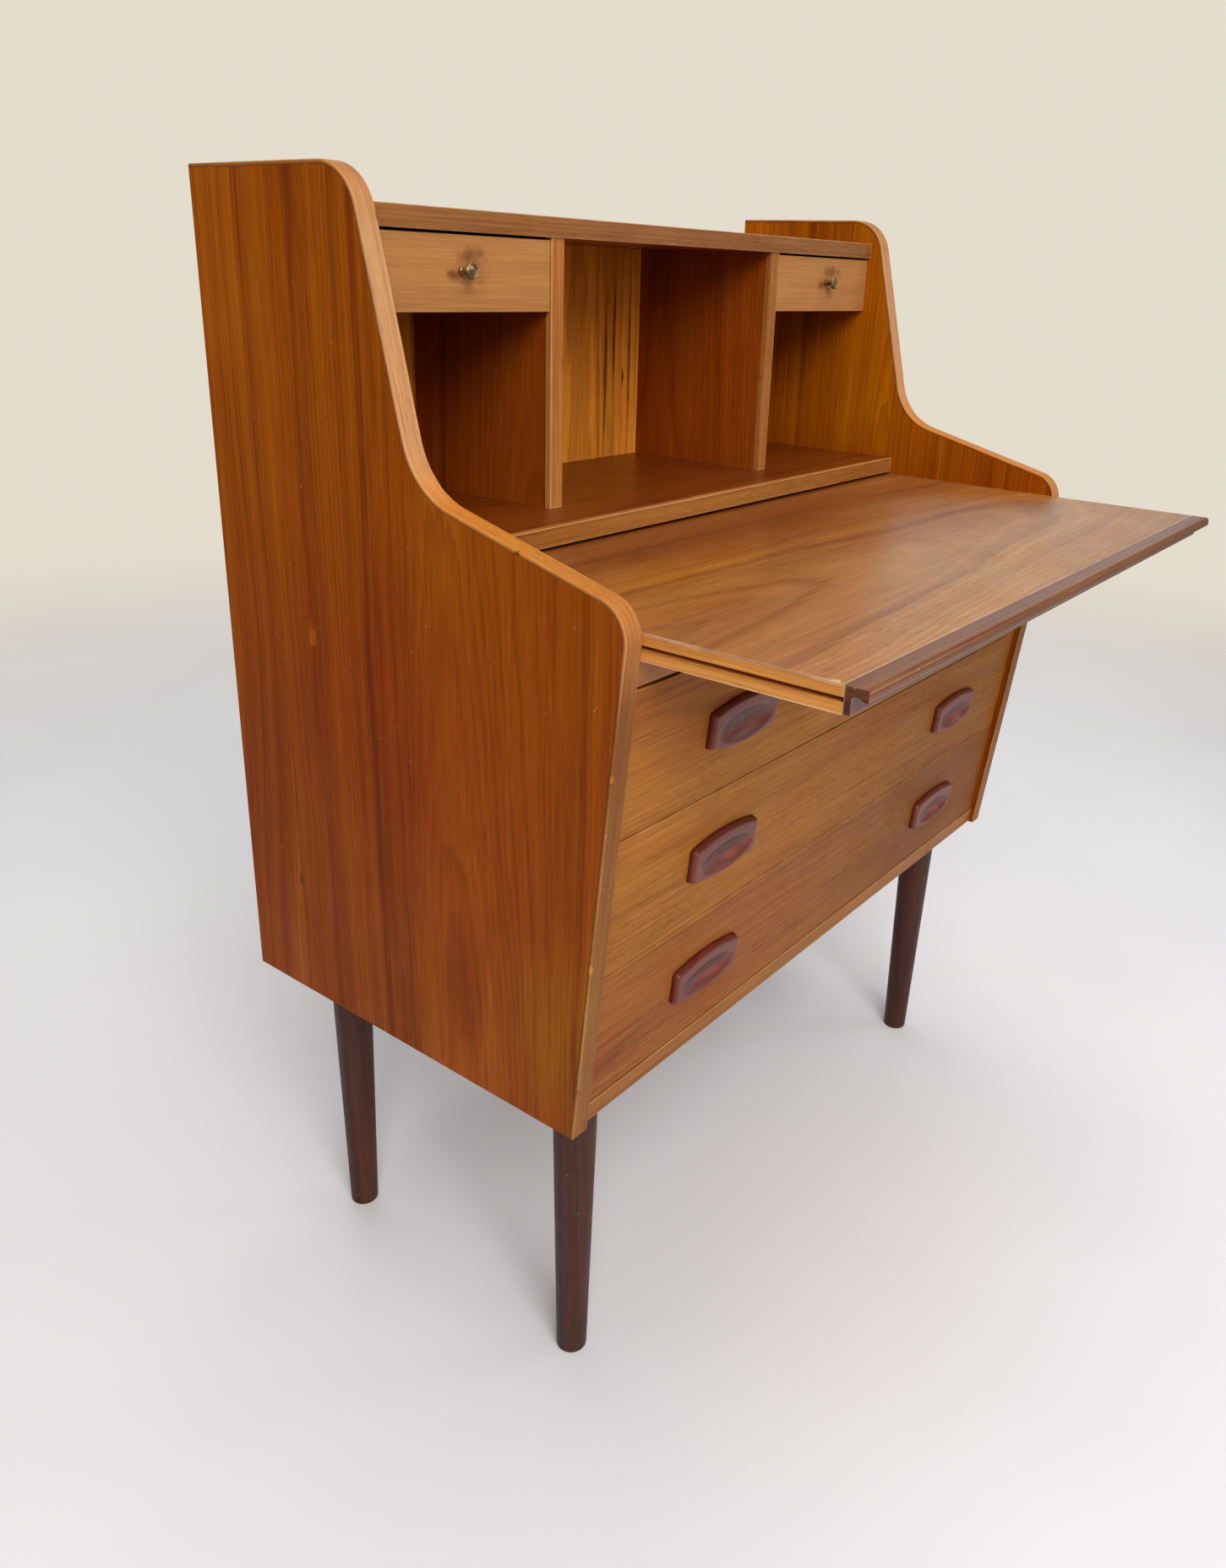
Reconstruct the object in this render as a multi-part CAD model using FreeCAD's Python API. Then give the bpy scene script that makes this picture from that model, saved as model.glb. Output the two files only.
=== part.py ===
import FreeCAD, Part
import math
import os

# Secretary desk on four turned legs: two swooping sides, a gallery with two small drawers above
# a pull-out writing leaf, and three wide drawers below it.
# Millimetres. +X is to the sitter's right, +Y towards the back, +Z up, and the floor is at z = 0.
# Pieces are built with y = 0 at the sides' front bottom corner, then moved by origin_y so that
# the origin ends up on the floor at the middle of the footprint with the leaf pulled out.

# ---------------------------------------------------------------- overall sizes
overall_width = 810.0
overall_height = 1028.0
side_depth = 408.0
leg_length = 308.0
writing_height = 736.0

# ---------------------------------------------------------------- panels
side_thickness = 18.0
bottom_thickness = 18.0
gallery_floor_thickness = 17.0
gallery_top_thickness = 16.5
divider_thickness = 16.5
back_thickness = 5.0
lipping_thickness = 3.0
shelf_lipping_depth = 6.0
arris_radius = 1.4
tongue_thickness = 6.0
tongue_depth = 6.0
rebate_width = 8.0
housing_depth = 4.0

# ---------------------------------------------------------------- outline of the sides
front_lean = 0.094
arm_fall = 0.257
elbow_from_back = 246.6
elbow_rise = 49.0
crest_from_back = 188.95
top_corner_radius = 42.0
elbow_radius = 62.0
nose_corner_radius = 30.0

# ---------------------------------------------------------------- gallery
gallery_top_drop = 26.0
gallery_floor_depth = 238.6
gallery_top_depth = 183.0
divider_depth = 181.0
divider_centre_x = 175.0
gallery_drawer_height = 57.5
gallery_drawer_top_gap = 2.0
gallery_drawer_side_gap = 0.8
gallery_drawer_recess = 1.0
gallery_drawer_length = 150.0
gallery_front_thickness = 12.0
gallery_side_thickness = 8.0
gallery_side_drop = 8.0
gallery_bottom_thickness = 3.0
gallery_bottom_rise = 5.0
gallery_bottom_groove_depth = 3.5
gallery_side_rise = 1.0
gallery_cleat_height = 7.4
gallery_groove_depth = 4.0
gallery_groove_start = 10.0

# ---------------------------------------------------------------- writing leaf
leaf_thickness = 20.0
leaf_depth = 435.0
leaf_travel = 167.0
leaf_side_gap = 0.3
leaf_gallery_gap = 3.0
leaf_rail_gap = 0.3
leaf_skin = 1.0
leaf_skin_overhang = 0.3
leaf_rail_width = 22.0
leaf_back_rail_depth = 30.0
leaf_nose_stand_out = 1.8
lip_depth = 17.5
lip_nose_height = 8.6
lip_nose_radius = 3.6
lip_nose_under_radius = 1.6
lip_nose_flat = 4.0
lip_cove_rise = 2.0
lip_cove_radius = 3.0
lip_leg_thickness = 5.0
lip_leg_radius = 1.2
groove_from_top = 8.6
runner_strip_thickness = 2.6
runner_strip_width = 12.0
runner_strip_seat = 6.0

# ---------------------------------------------------------------- wide drawers
drawer_count = 3
front_rail_height = 22.7
drawer_gap = 1.5
top_drawer_gap = 2.5
front_recess = 7.0
bottom_recess = 6.0
drawer_side_gap = 1.0
front_thickness = 18.0
drawer_side_thickness = 12.0
drawer_side_rise = 2.0
drawer_side_drop = 14.0
drawer_back_thickness = 12.0
drawer_bottom_thickness = 4.0
drawer_bottom_rise = 8.0
bottom_groove_depth = 5.0
drawer_back_clearance = 18.0
cleat_height = 13.4
cleat_groove_depth = 6.0
cleat_groove_start = 14.0
cleat_back_clearance = 24.0
front_rail_depth = 24.0
sliding_gap = 0.3
front_arris = 0.8

# ---------------------------------------------------------------- dovetails at the drawer fronts
tail_length = 12.0
tail_base_half = 8.0
tail_flare = 2.2
tail_count = 3
small_tail_length = 8.0
small_tail_base_half = 5.5
small_tail_flare = 1.6
small_tail_count = 2

# ---------------------------------------------------------------- handles and knobs
handle_length = 94.0
handle_end_height = 31.0
handle_bow = 5.5
handle_proud = 7.0
handle_face_inset = 1.5
handle_centre_x = 232.0
handle_rim_radius = 1.6
scoop_length = 80.0
scoop_height = 27.5
scoop_depth = 5.6
scoop_lift = -3.0
knob_from_bay_centre = 3.0
knob_rise = 2.0
knob_head_radius = 6.3
knob_head_thickness = 2.2
knob_stem_radius = 2.3
knob_base_radius = 3.6
knob_base_thickness = 1.6
knob_length = 12.5
knob_stud_radius = 2.0
knob_stud_length = 9.0

# ---------------------------------------------------------------- legs
leg_top_radius = 20.5
leg_foot_radius = 14.2
leg_foot_round = 2.5
leg_centre_x = 341.0
leg_front_y = 52.0
leg_from_back = 55.0
bolt_radius = 4.0
bolt_in_leg = 40.0
nut_barrel_radius = 5.5
nut_flange_radius = 11.0
nut_flange_thickness = 1.5
nut_above_leg = 2.0

# ---------------------------------------------------------------- screws
screw_head_radius = 3.2
screw_shank_radius = 1.6
screw_head_height = 2.4
back_screw_length = 18.0
cleat_screw_length = 17.0
small_screw_length = 11.0
small_screw_head_radius = 2.6
small_screw_shank_radius = 1.3
runner_screw_share = 0.12

# ---------------------------------------------------------------- places worked out from the sizes
half_width = overall_width / 2
inner_x = half_width - side_thickness
back_face_y = side_depth - back_thickness
bottom_top_z = leg_length + bottom_thickness
leaf_bottom_z = writing_height - leaf_thickness
gallery_floor_z = writing_height + leaf_gallery_gap
gallery_floor_top_z = gallery_floor_z + gallery_floor_thickness
gallery_top_z = overall_height - gallery_top_drop
gallery_roof_z = gallery_top_z - gallery_top_thickness
gallery_floor_front_y = side_depth - gallery_floor_depth
gallery_top_front_y = side_depth - gallery_top_depth
divider_front_y = side_depth - divider_depth
divider_inner_x = divider_centre_x - divider_thickness / 2
divider_outer_x = divider_centre_x + divider_thickness / 2
elbow_y = side_depth - elbow_from_back
elbow_z = gallery_floor_top_z + elbow_rise
rail_top_z = leaf_bottom_z - leaf_rail_gap
rail_bottom_z = rail_top_z - front_rail_height
drawer_pitch = (rail_bottom_z - top_drawer_gap - bottom_top_z) / drawer_count
drawer_height = drawer_pitch - drawer_gap
drawer_outer_x = inner_x - drawer_side_gap
drawer_end_y = back_face_y - drawer_back_clearance
leaf_half_width = inner_x - leaf_side_gap
leaf_closed_nose_y = -front_lean * (writing_height - leg_length) - leaf_nose_stand_out
leaf_nose_y = leaf_closed_nose_y - leaf_travel
leaf_lip_back_y = leaf_nose_y + lip_depth
leaf_back_y = leaf_nose_y + leaf_depth
leaf_back_rail_y = leaf_back_y - leaf_back_rail_depth
groove_height = runner_strip_thickness + 2 * sliding_gap
groove_top_z = writing_height - groove_from_top
origin_y = (leaf_nose_y + side_depth) / 2


# ---------------------------------------------------------------- shapes that many pieces share
def block(x0, x1, y0, y1, z0, z1):
    """A box between two corners."""
    return Part.makeBox(x1 - x0, y1 - y0, z1 - z0, FreeCAD.Vector(x0, y0, z0))


def prism_x(points, x0, x1):
    """A straight-edged (y, z) outline carried along X."""
    loop = [FreeCAD.Vector(x0, y, z) for y, z in points]
    face = Part.Face(Part.makePolygon(loop + loop[:1]))
    return face.extrude(FreeCAD.Vector(x1 - x0, 0, 0))


def mirrored(shape):
    """The same piece on the other side of the desk."""
    return shape.mirror(FreeCAD.Vector(0, 0, 0), FreeCAD.Vector(1, 0, 0))


def both_sides(shape):
    """A piece and its mirror image."""
    return [shape, mirrored(shape)]


def turned(profile, base, direction):
    """A (radius, height) profile turned about an axis, then aimed along a direction."""
    loop = [FreeCAD.Vector(r, 0, h) for r, h in profile]
    face = Part.Face(Part.makePolygon(loop + loop[:1]))
    solid = face.revolve(FreeCAD.Vector(0, 0, 0), FreeCAD.Vector(0, 0, 1), 360)
    turn = FreeCAD.Rotation(FreeCAD.Vector(0, 0, 1), FreeCAD.Vector(*direction))
    return solid.transformed(FreeCAD.Placement(FreeCAD.Vector(*base), turn).toMatrix())


def screw(base, direction, length, head=screw_head_radius, shank=screw_shank_radius):
    """A countersunk wood screw. The base is the middle of its flush head."""
    tip = 2 * shank
    profile = [(0, 0), (head, 0), (shank, screw_head_height), (shank, length - tip), (0, length)]
    return turned(profile, base, direction)


def arrised(shape, radius, wanted):
    """Round over the edges whose middle point the test accepts."""
    edges = [edge for edge in shape.Edges if wanted(edge.CenterOfMass)]
    return shape.makeFillet(radius, edges)


def without(shape, cutters):
    """Cut a list of solids out of a piece."""
    for cutter in cutters:
        shape = shape.cut(cutter)
    return shape


def lean_y(z, recess=0.0):
    """Where the leaning front lies at height z, set back by the recess."""
    return recess - front_lean * (z - leg_length)


# ---------------------------------------------------------------- sides
def side_corners(inset):
    """The (y, z, radius) corners of a side, its front and top edges moved in by the inset."""
    foot = (0.0, leg_length)
    top = overall_height
    edge_z = elbow_z - arm_fall * elbow_y
    nose_y = -front_lean * (edge_z - leg_length) / (1 + front_lean * arm_fall)
    nose = (nose_y, edge_z + arm_fall * nose_y)
    crest = (side_depth - crest_from_back, top)
    elbow = (elbow_y, elbow_z)
    heel = (side_depth, top)
    chain = [heel, crest, elbow, nose, foot]
    lines = [moved_line(a, b, inset) for a, b in zip(chain, chain[1:])]
    corners = [crossing(a, b) for a, b in zip(lines, lines[1:])]
    radii = (top_corner_radius - inset, elbow_radius + inset, nose_corner_radius - inset)
    toe_y = lines[-1][0][0] + lines[-1][1][0] * (leg_length - lines[-1][0][1]) / lines[-1][1][1]
    ring = [(side_depth, leg_length, 0.0), (side_depth, top - inset, 0.0)]
    ring += [(y, z, radius) for (y, z), radius in zip(corners, radii)]
    return ring + [(toe_y, leg_length, 0.0)]


def moved_line(a, b, inset):
    """The line from a to b as a point and a direction, moved to its left by the inset."""
    run = (b[0] - a[0], b[1] - a[1])
    size = math.hypot(*run)
    unit = (run[0] / size, run[1] / size)
    return (a[0] - unit[1] * inset, a[1] + unit[0] * inset), unit


def crossing(first, second):
    """Where two lines meet."""
    (ay, az), (uy, uz) = first
    (by, bz), (vy, vz) = second
    share = ((by - ay) * vz - (bz - az) * vy) / (uy * vz - uz * vy)
    return ay + uy * share, az + uz * share


def rounded_face(corners, x):
    """A flat face across X whose corners are rounded by arcs."""
    count = len(corners)
    edges = []
    ends = []
    for index in range(count):
        here = FreeCAD.Vector(x, corners[index][0], corners[index][1])
        before = FreeCAD.Vector(x, *corners[index - 1][:2])
        after = FreeCAD.Vector(x, *corners[(index + 1) % count][:2])
        radius = corners[index][2]
        if radius == 0.0:
            ends.append((here, here))
            continue
        to_before = (before - here).normalize()
        to_after = (after - here).normalize()
        half_angle = to_before.getAngle(to_after) / 2
        reach = radius / math.tan(half_angle)
        middle_line = (to_before + to_after).normalize()
        middle = here + middle_line * (radius / math.sin(half_angle) - radius)
        start = here + to_before * reach
        end = here + to_after * reach
        edges.append(Part.Arc(start, middle, end).toShape())
        ends.append((start, end))
    for index in range(count):
        edges.append(Part.makeLine(ends[index - 1][1], ends[index][0]))
    return Part.Face(Part.Wire(Part.__sortEdges__(edges)))


def side_blank(inset):
    """The whole left side as one board, its shaped edge moved in by the inset."""
    face = rounded_face(side_corners(inset), -half_width)
    return face.extrude(FreeCAD.Vector(side_thickness, 0, 0))


def left_side_pieces():
    """The veneered left side board and the solid lipping round its shaped edge."""
    core = side_blank(lipping_thickness)
    blank = side_blank(0.0)
    rim = side_blank(arris_radius / 2)

    def on_shaped_edge(point):
        near_face = abs(abs(point.x + half_width - side_thickness / 2) - side_thickness / 2) < 0.01
        inside = rim.isInside(point, 0.01, True)
        return near_face and not inside and point.z > leg_length + 1 and point.y < side_depth - 1

    blank = arrised(blank, arris_radius, on_shaped_edge)
    lipping = blank.cut(core)
    rebate = block(-inner_x - rebate_width, -inner_x, back_face_y, side_depth,
                   leg_length, gallery_top_z)
    return core.cut(rebate), lipping


# ---------------------------------------------------------------- shelves between the sides
def shelf(z0, thickness, front_y, recess=None):
    """A shelf with a tongue at each end, and the lipping along its front edge.

    With a recess the front edge follows the leaning front, otherwise it is upright.
    """
    z1 = z0 + thickness
    low_y = front_y if recess is None else lean_y(z0, recess)
    high_y = front_y if recess is None else lean_y(z1, recess)
    core_y = max(low_y, high_y) + shelf_lipping_depth
    middle_z = (z0 + z1) / 2
    core = block(-inner_x, inner_x, core_y, back_face_y, z0, z1)
    tongue_x = inner_x + tongue_depth
    tongue = block(-tongue_x, tongue_x, core_y, back_face_y,
                   middle_z - tongue_thickness / 2, middle_z + tongue_thickness / 2)
    lipping = prism_x([(low_y, z0), (core_y, z0), (core_y, z1), (high_y, z1)], -inner_x, inner_x)
    lipping = arrised(lipping, arris_radius / 2,
                      lambda point: point.y < core_y - 1 and abs(point.x) < 1)
    return core.fuse(tongue).removeSplitter(), lipping


def front_rail():
    """The rail between the top drawer and the leaf, with a tongue at each end."""
    outline = [(lean_y(rail_bottom_z, front_recess), rail_bottom_z),
               (lean_y(rail_bottom_z, front_recess) + front_rail_depth, rail_bottom_z),
               (lean_y(rail_bottom_z, front_recess) + front_rail_depth, rail_top_z),
               (lean_y(rail_top_z, front_recess), rail_top_z)]
    body = prism_x(outline, -inner_x, inner_x)
    body = arrised(body, arris_radius / 2,
                   lambda point: point.y < outline[0][0] + 1 and abs(point.x) < 1)
    middle_z = (rail_bottom_z + rail_top_z) / 2
    tongue_x = inner_x + tongue_depth
    front = lean_y(rail_bottom_z, front_recess) + shelf_lipping_depth
    tongue = block(-tongue_x, tongue_x, front, outline[1][0],
                   middle_z - tongue_thickness / 2, middle_z + tongue_thickness / 2)
    return body.fuse(tongue).removeSplitter()


def divider():
    """The right divider of the gallery, housed into the shelves above and below it."""
    return block(divider_inner_x, divider_outer_x, divider_front_y + shelf_lipping_depth,
                 back_face_y, gallery_floor_top_z - housing_depth, gallery_roof_z + housing_depth)


def divider_lipping():
    """The solid front edge of the right divider."""
    edge = block(divider_inner_x, divider_outer_x, divider_front_y,
                 divider_front_y + shelf_lipping_depth, gallery_floor_top_z, gallery_roof_z)
    return arrised(edge, arris_radius / 2,
                   lambda point: abs(point.y - divider_front_y) < 0.01
                   and abs(point.z - (gallery_floor_top_z + gallery_roof_z) / 2) < 1)


def back_panels():
    """The lower back and the gallery back, which meet behind the gallery floor."""
    reach = inner_x + rebate_width
    joint_z = gallery_floor_z + gallery_floor_thickness / 2
    lower = block(-reach, reach, back_face_y, side_depth, leg_length, joint_z)
    upper = block(-reach, reach, back_face_y, side_depth, joint_z, gallery_top_z)
    return lower, upper


def back_screws():
    """Screws through both back panels into the sides and shelves."""
    spans = [share * inner_x for share in (-0.75, -0.25, 0.25, 0.75)]
    joint_z = gallery_floor_z + gallery_floor_thickness / 2
    edge = gallery_floor_thickness / 4
    rows = [leg_length + bottom_thickness / 2, joint_z - edge, joint_z + edge,
            gallery_roof_z + gallery_top_thickness / 2]
    places = [(x, z) for z in rows for x in spans]
    side_x = inner_x + rebate_width / 2
    lower_z = [leg_length + (joint_z - leg_length) * share for share in (0.2, 0.5, 0.8)]
    upper_z = [joint_z + (gallery_top_z - joint_z) * share for share in (0.25, 0.75)]
    places += [(sign * side_x, z) for z in lower_z + upper_z for sign in (-1, 1)]
    return [screw((x, side_depth, z), (0, -1, 0), back_screw_length) for x, z in places]


# ---------------------------------------------------------------- legs
def leg():
    """The front left leg: a tapered turning with a rounded foot and a bore for its bolt."""
    foot = Part.makeCone(leg_foot_radius, leg_top_radius, leg_length,
                         FreeCAD.Vector(-leg_centre_x, leg_front_y, 0))
    foot = arrised(foot, leg_foot_round, lambda point: abs(point.z) < 0.01)
    bore = Part.makeCylinder(bolt_radius, bolt_in_leg,
                             FreeCAD.Vector(-leg_centre_x, leg_front_y, leg_length - bolt_in_leg))
    return foot.cut(bore)


def leg_bolt():
    """The bolt that joins the front left leg to the bottom."""
    return Part.makeCylinder(bolt_radius, bolt_in_leg + bottom_thickness - nut_flange_thickness,
                             FreeCAD.Vector(-leg_centre_x, leg_front_y, leg_length - bolt_in_leg))


def leg_nut():
    """The flanged nut let into the bottom over the front left leg."""
    top = leg_length + bottom_thickness
    barrel_length = bottom_thickness - nut_flange_thickness - nut_above_leg
    flange = Part.makeCylinder(nut_flange_radius, nut_flange_thickness,
                               FreeCAD.Vector(-leg_centre_x, leg_front_y,
                                              top - nut_flange_thickness))
    barrel = Part.makeCylinder(nut_barrel_radius, barrel_length,
                               FreeCAD.Vector(-leg_centre_x, leg_front_y,
                                              top - nut_flange_thickness - barrel_length))
    return flange.fuse(barrel).removeSplitter().cut(leg_bolt())


def at_each_leg(shape):
    """Copies of a front left piece at the four leg places, named by corner."""
    back_step = FreeCAD.Vector(0, side_depth - leg_from_back - leg_front_y, 0)
    back = shape.translated(back_step)
    return {"front_left": shape, "front_right": mirrored(shape),
            "back_left": back, "back_right": mirrored(back)}


# ---------------------------------------------------------------- drawer boxes
def tail_prisms(x0, x1, low_z, high_z, face_y, sizes):
    """The dovetails up one corner, narrow at the back of the front board, wide at their tips."""
    length, base_half, flare, count = sizes
    tails = []
    for step in range(count):
        z = low_z + (step + 0.5) * (high_z - low_z) / count
        outline = [(face_y(z - base_half), z - base_half),
                   (face_y(z - base_half - flare) - length, z - base_half - flare),
                   (face_y(z + base_half + flare) - length, z + base_half + flare),
                   (face_y(z + base_half), z + base_half)]
        tails.append(prism_x(outline, x0, x1))
    return tails


def drawer_box(centre_x, half, front_z, end_y, face_y, size):
    """The front, two sides, back and bottom of one drawer.

    face_y gives the front's face at a height, and size holds the thicknesses and fits.
    """
    z0, z1 = front_z
    side_z0 = z0 + size["side_rise"]
    side_z1 = z1 - size["side_drop"]
    middle_z = (side_z0 + side_z1) / 2

    def inside_y(z):
        return face_y(z) + size["front"]

    front = prism_x([(face_y(z0), z0), (inside_y(z0), z0), (inside_y(z1), z1), (face_y(z1), z1)],
                    centre_x - half, centre_x + half)
    front = arrised(front, front_arris,
                    lambda point: point.y < (face_y(point.z) + inside_y(point.z)) / 2 - 1
                    and (abs(point.x - centre_x) < 1 or abs(abs(point.x - centre_x) - half) < 0.01)
                    and abs(point.y - face_y(point.z)) < 0.01)
    plate_z = side_z0 + size["bottom_rise"]
    wall = size["side"]
    plate_x = half - wall + size["plate_groove"]
    plate_y = inside_y(plate_z) - size["plate_groove"]
    plate = block(centre_x - plate_x, centre_x + plate_x, plate_y, end_y,
                  plate_z, plate_z + size["bottom"])
    board = prism_x([(inside_y(side_z0), side_z0), (end_y, side_z0), (end_y, side_z1),
                     (inside_y(side_z1), side_z1)], centre_x + half - wall, centre_x + half)
    tails = tail_prisms(centre_x + half - wall, centre_x + half, side_z0, side_z1, inside_y,
                        size["tails"])
    start_y = inside_y(middle_z) + size["cleat_start"]
    slot = block(centre_x + half - size["cleat_groove"], centre_x + half, start_y, end_y,
                 middle_z - size["cleat"] / 2 - sliding_gap,
                 middle_z + size["cleat"] / 2 + sliding_gap)
    for tail in tails:
        board = board.fuse(tail)
    right = board.removeSplitter().cut(slot).cut(plate)
    flip = (FreeCAD.Vector(centre_x, 0, 0), FreeCAD.Vector(1, 0, 0))
    left = right.mirror(*flip)
    front = without(front, tails + [tail.mirror(*flip) for tail in tails] + [plate])
    back = block(centre_x - half + wall, centre_x + half - wall, end_y - size["back"], end_y,
                 plate_z + size["bottom"], side_z1)
    cleat_y = start_y + sliding_gap
    return {"front": front, "side_left": left, "side_right": right, "back": back,
            "bottom": plate}, (cleat_y, middle_z)


wide_drawer_sizes = {
    "front": front_thickness, "side": drawer_side_thickness, "back": drawer_back_thickness,
    "bottom": drawer_bottom_thickness, "bottom_rise": drawer_bottom_rise,
    "plate_groove": bottom_groove_depth, "side_rise": drawer_side_rise,
    "side_drop": drawer_side_drop, "cleat": cleat_height, "cleat_groove": cleat_groove_depth,
    "cleat_start": cleat_groove_start,
    "tails": (tail_length, tail_base_half, tail_flare, tail_count)}

small_drawer_sizes = {
    "front": gallery_front_thickness, "side": gallery_side_thickness,
    "back": gallery_side_thickness, "bottom": gallery_bottom_thickness,
    "bottom_rise": gallery_bottom_rise, "plate_groove": gallery_bottom_groove_depth,
    "side_rise": gallery_side_rise, "side_drop": gallery_side_drop,
    "cleat": gallery_cleat_height, "cleat_groove": gallery_groove_depth,
    "cleat_start": gallery_groove_start,
    "tails": (small_tail_length, small_tail_base_half, small_tail_flare, small_tail_count)}


def wide_drawer(level):
    """One of the three wide drawers, counted from the bottom, and where its cleats start."""
    z0 = bottom_top_z + drawer_gap + level * drawer_pitch

    def face_y(z):
        return lean_y(z, front_recess)

    return drawer_box(0.0, drawer_outer_x, (z0, z0 + drawer_height), drawer_end_y, face_y,
                      wide_drawer_sizes)


def small_drawer(sign):
    """One of the two gallery drawers, with its bored front, and where its cleats start."""
    z1 = gallery_roof_z - gallery_drawer_top_gap
    z0 = z1 - gallery_drawer_height
    half = (inner_x - divider_outer_x) / 2 - gallery_drawer_side_gap
    face = divider_front_y + gallery_drawer_recess

    def face_y(z):
        return face

    return drawer_box(sign * (inner_x + divider_outer_x) / 2, half, (z0, z1),
                      face + gallery_drawer_length, face_y, small_drawer_sizes)


wide_runner_screw = (cleat_screw_length, screw_head_radius, screw_shank_radius)
small_runner_screw = (small_screw_length, small_screw_head_radius, small_screw_shank_radius)


def screwed_runner(wall_x, groove_x, start_y, end_y, middle_z, height, screw_sizes):
    """A strip on a wall that runs in a drawer's groove, and the two screws that hold it."""
    way = 1 if wall_x > groove_x else -1
    face_x = groove_x + way * sliding_gap
    strip = block(min(face_x, wall_x), max(face_x, wall_x), start_y, end_y,
                  middle_z - height / 2, middle_z + height / 2)
    step = (end_y - start_y) * runner_screw_share
    screws = [screw((face_x, y, middle_z), (way, 0, 0), *screw_sizes)
              for y in (start_y + step, end_y - step)]
    return without(strip, screws), screws


# ---------------------------------------------------------------- handles and knobs
def scoop_barrel():
    """The barrel that hollows a handle: its belly meets the face in a boat-shaped outline."""
    axis_out = ((scoop_height / 2) ** 2 - scoop_depth ** 2) / (2 * scoop_depth)
    belly = axis_out + scoop_depth
    bow_radius = ((scoop_length / 2) ** 2 + scoop_depth ** 2) / (2 * scoop_depth)
    tip_x = scoop_length / 2 + 1.0
    tip = belly - bow_radius + math.sqrt(bow_radius ** 2 - tip_x ** 2)
    axis_y = -handle_proud - axis_out
    bow = Part.Arc(FreeCAD.Vector(-tip_x, axis_y + tip, 0), FreeCAD.Vector(0, axis_y + belly, 0),
                   FreeCAD.Vector(tip_x, axis_y + tip, 0)).toShape()
    rest = Part.makePolygon([FreeCAD.Vector(tip_x, axis_y + tip, 0),
                             FreeCAD.Vector(tip_x, axis_y, 0),
                             FreeCAD.Vector(-tip_x, axis_y, 0),
                             FreeCAD.Vector(-tip_x, axis_y + tip, 0)])
    face = Part.Face(Part.Wire([bow] + rest.Edges))
    return face.revolve(FreeCAD.Vector(0, axis_y, 0), FreeCAD.Vector(1, 0, 0), 360)


def handle(centre_x, middle_z):
    """A bowed block with straight ends and a boat-shaped scoop, lying on the leaning front."""
    half = handle_length / 2
    end = handle_end_height / 2

    def outline(inset, y):
        low = Part.Arc(FreeCAD.Vector(-half + inset, y, -end + inset),
                       FreeCAD.Vector(0, y, -end - handle_bow + inset),
                       FreeCAD.Vector(half - inset, y, -end + inset)).toShape()
        high = Part.Arc(FreeCAD.Vector(half - inset, y, end - inset),
                        FreeCAD.Vector(0, y, end + handle_bow - inset),
                        FreeCAD.Vector(-half + inset, y, end - inset)).toShape()
        right = Part.makeLine(FreeCAD.Vector(half - inset, y, -end + inset),
                              FreeCAD.Vector(half - inset, y, end - inset))
        left = Part.makeLine(FreeCAD.Vector(-half + inset, y, end - inset),
                             FreeCAD.Vector(-half + inset, y, -end + inset))
        return Part.Wire([low, right, high, left])

    body = Part.makeLoft([outline(0.0, 0.0), outline(handle_face_inset, -handle_proud)], True)
    body = arrised(body, handle_rim_radius,
                   lambda point: abs(point.y + handle_proud) < 0.01)
    body = body.cut(scoop_barrel().translated(FreeCAD.Vector(0, 0, scoop_lift)))
    tilt = FreeCAD.Rotation(FreeCAD.Vector(1, 0, 0), math.degrees(math.atan(front_lean)))
    place = FreeCAD.Placement(FreeCAD.Vector(centre_x, lean_y(middle_z, front_recess), middle_z),
                              tilt)
    return body.transformed(place.toMatrix())


def knob(centre_x, middle_z):
    """A small turned knob: base, slim stem and a flat disc head, with a stud into the front."""
    head_back = knob_length - knob_head_thickness
    rim = knob_head_thickness / 3
    profile = [(0, -knob_stud_length), (knob_stud_radius, -knob_stud_length),
               (knob_stud_radius, 0), (knob_base_radius, 0),
               (knob_base_radius, knob_base_thickness),
               (knob_stem_radius, knob_base_thickness + knob_stem_radius / 2),
               (knob_stem_radius, head_back - knob_stem_radius / 2),
               (knob_base_radius, head_back), (knob_head_radius - rim, head_back),
               (knob_head_radius, head_back + rim), (knob_head_radius, knob_length - rim),
               (knob_head_radius - rim, knob_length), (0, knob_length)]
    face = divider_front_y + gallery_drawer_recess
    return turned(profile, (centre_x, face, middle_z), (0, -1, 0))


# ---------------------------------------------------------------- writing leaf
def leaf_panel():
    """The core board between the rails, under a thin skin that covers the rails too."""
    skin_z = writing_height - leaf_skin
    core_x = leaf_half_width - leaf_skin_overhang - leaf_rail_width
    core = block(-core_x, core_x, leaf_lip_back_y, leaf_back_rail_y, leaf_bottom_z, skin_z)
    skin = block(-leaf_half_width, leaf_half_width, leaf_lip_back_y, leaf_back_y,
                 skin_z, writing_height)
    return core.fuse(skin).removeSplitter()


def leaf_rail():
    """The grooved right rail of the leaf."""
    outer = leaf_half_width - leaf_skin_overhang
    rail = block(outer - leaf_rail_width, outer, leaf_lip_back_y, leaf_back_rail_y,
                 leaf_bottom_z, writing_height - leaf_skin)
    groove_depth = runner_strip_width - runner_strip_seat
    groove = block(outer - groove_depth, outer, leaf_lip_back_y, leaf_back_rail_y,
                   groove_top_z - groove_height, groove_top_z)
    return rail.cut(groove)


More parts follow.
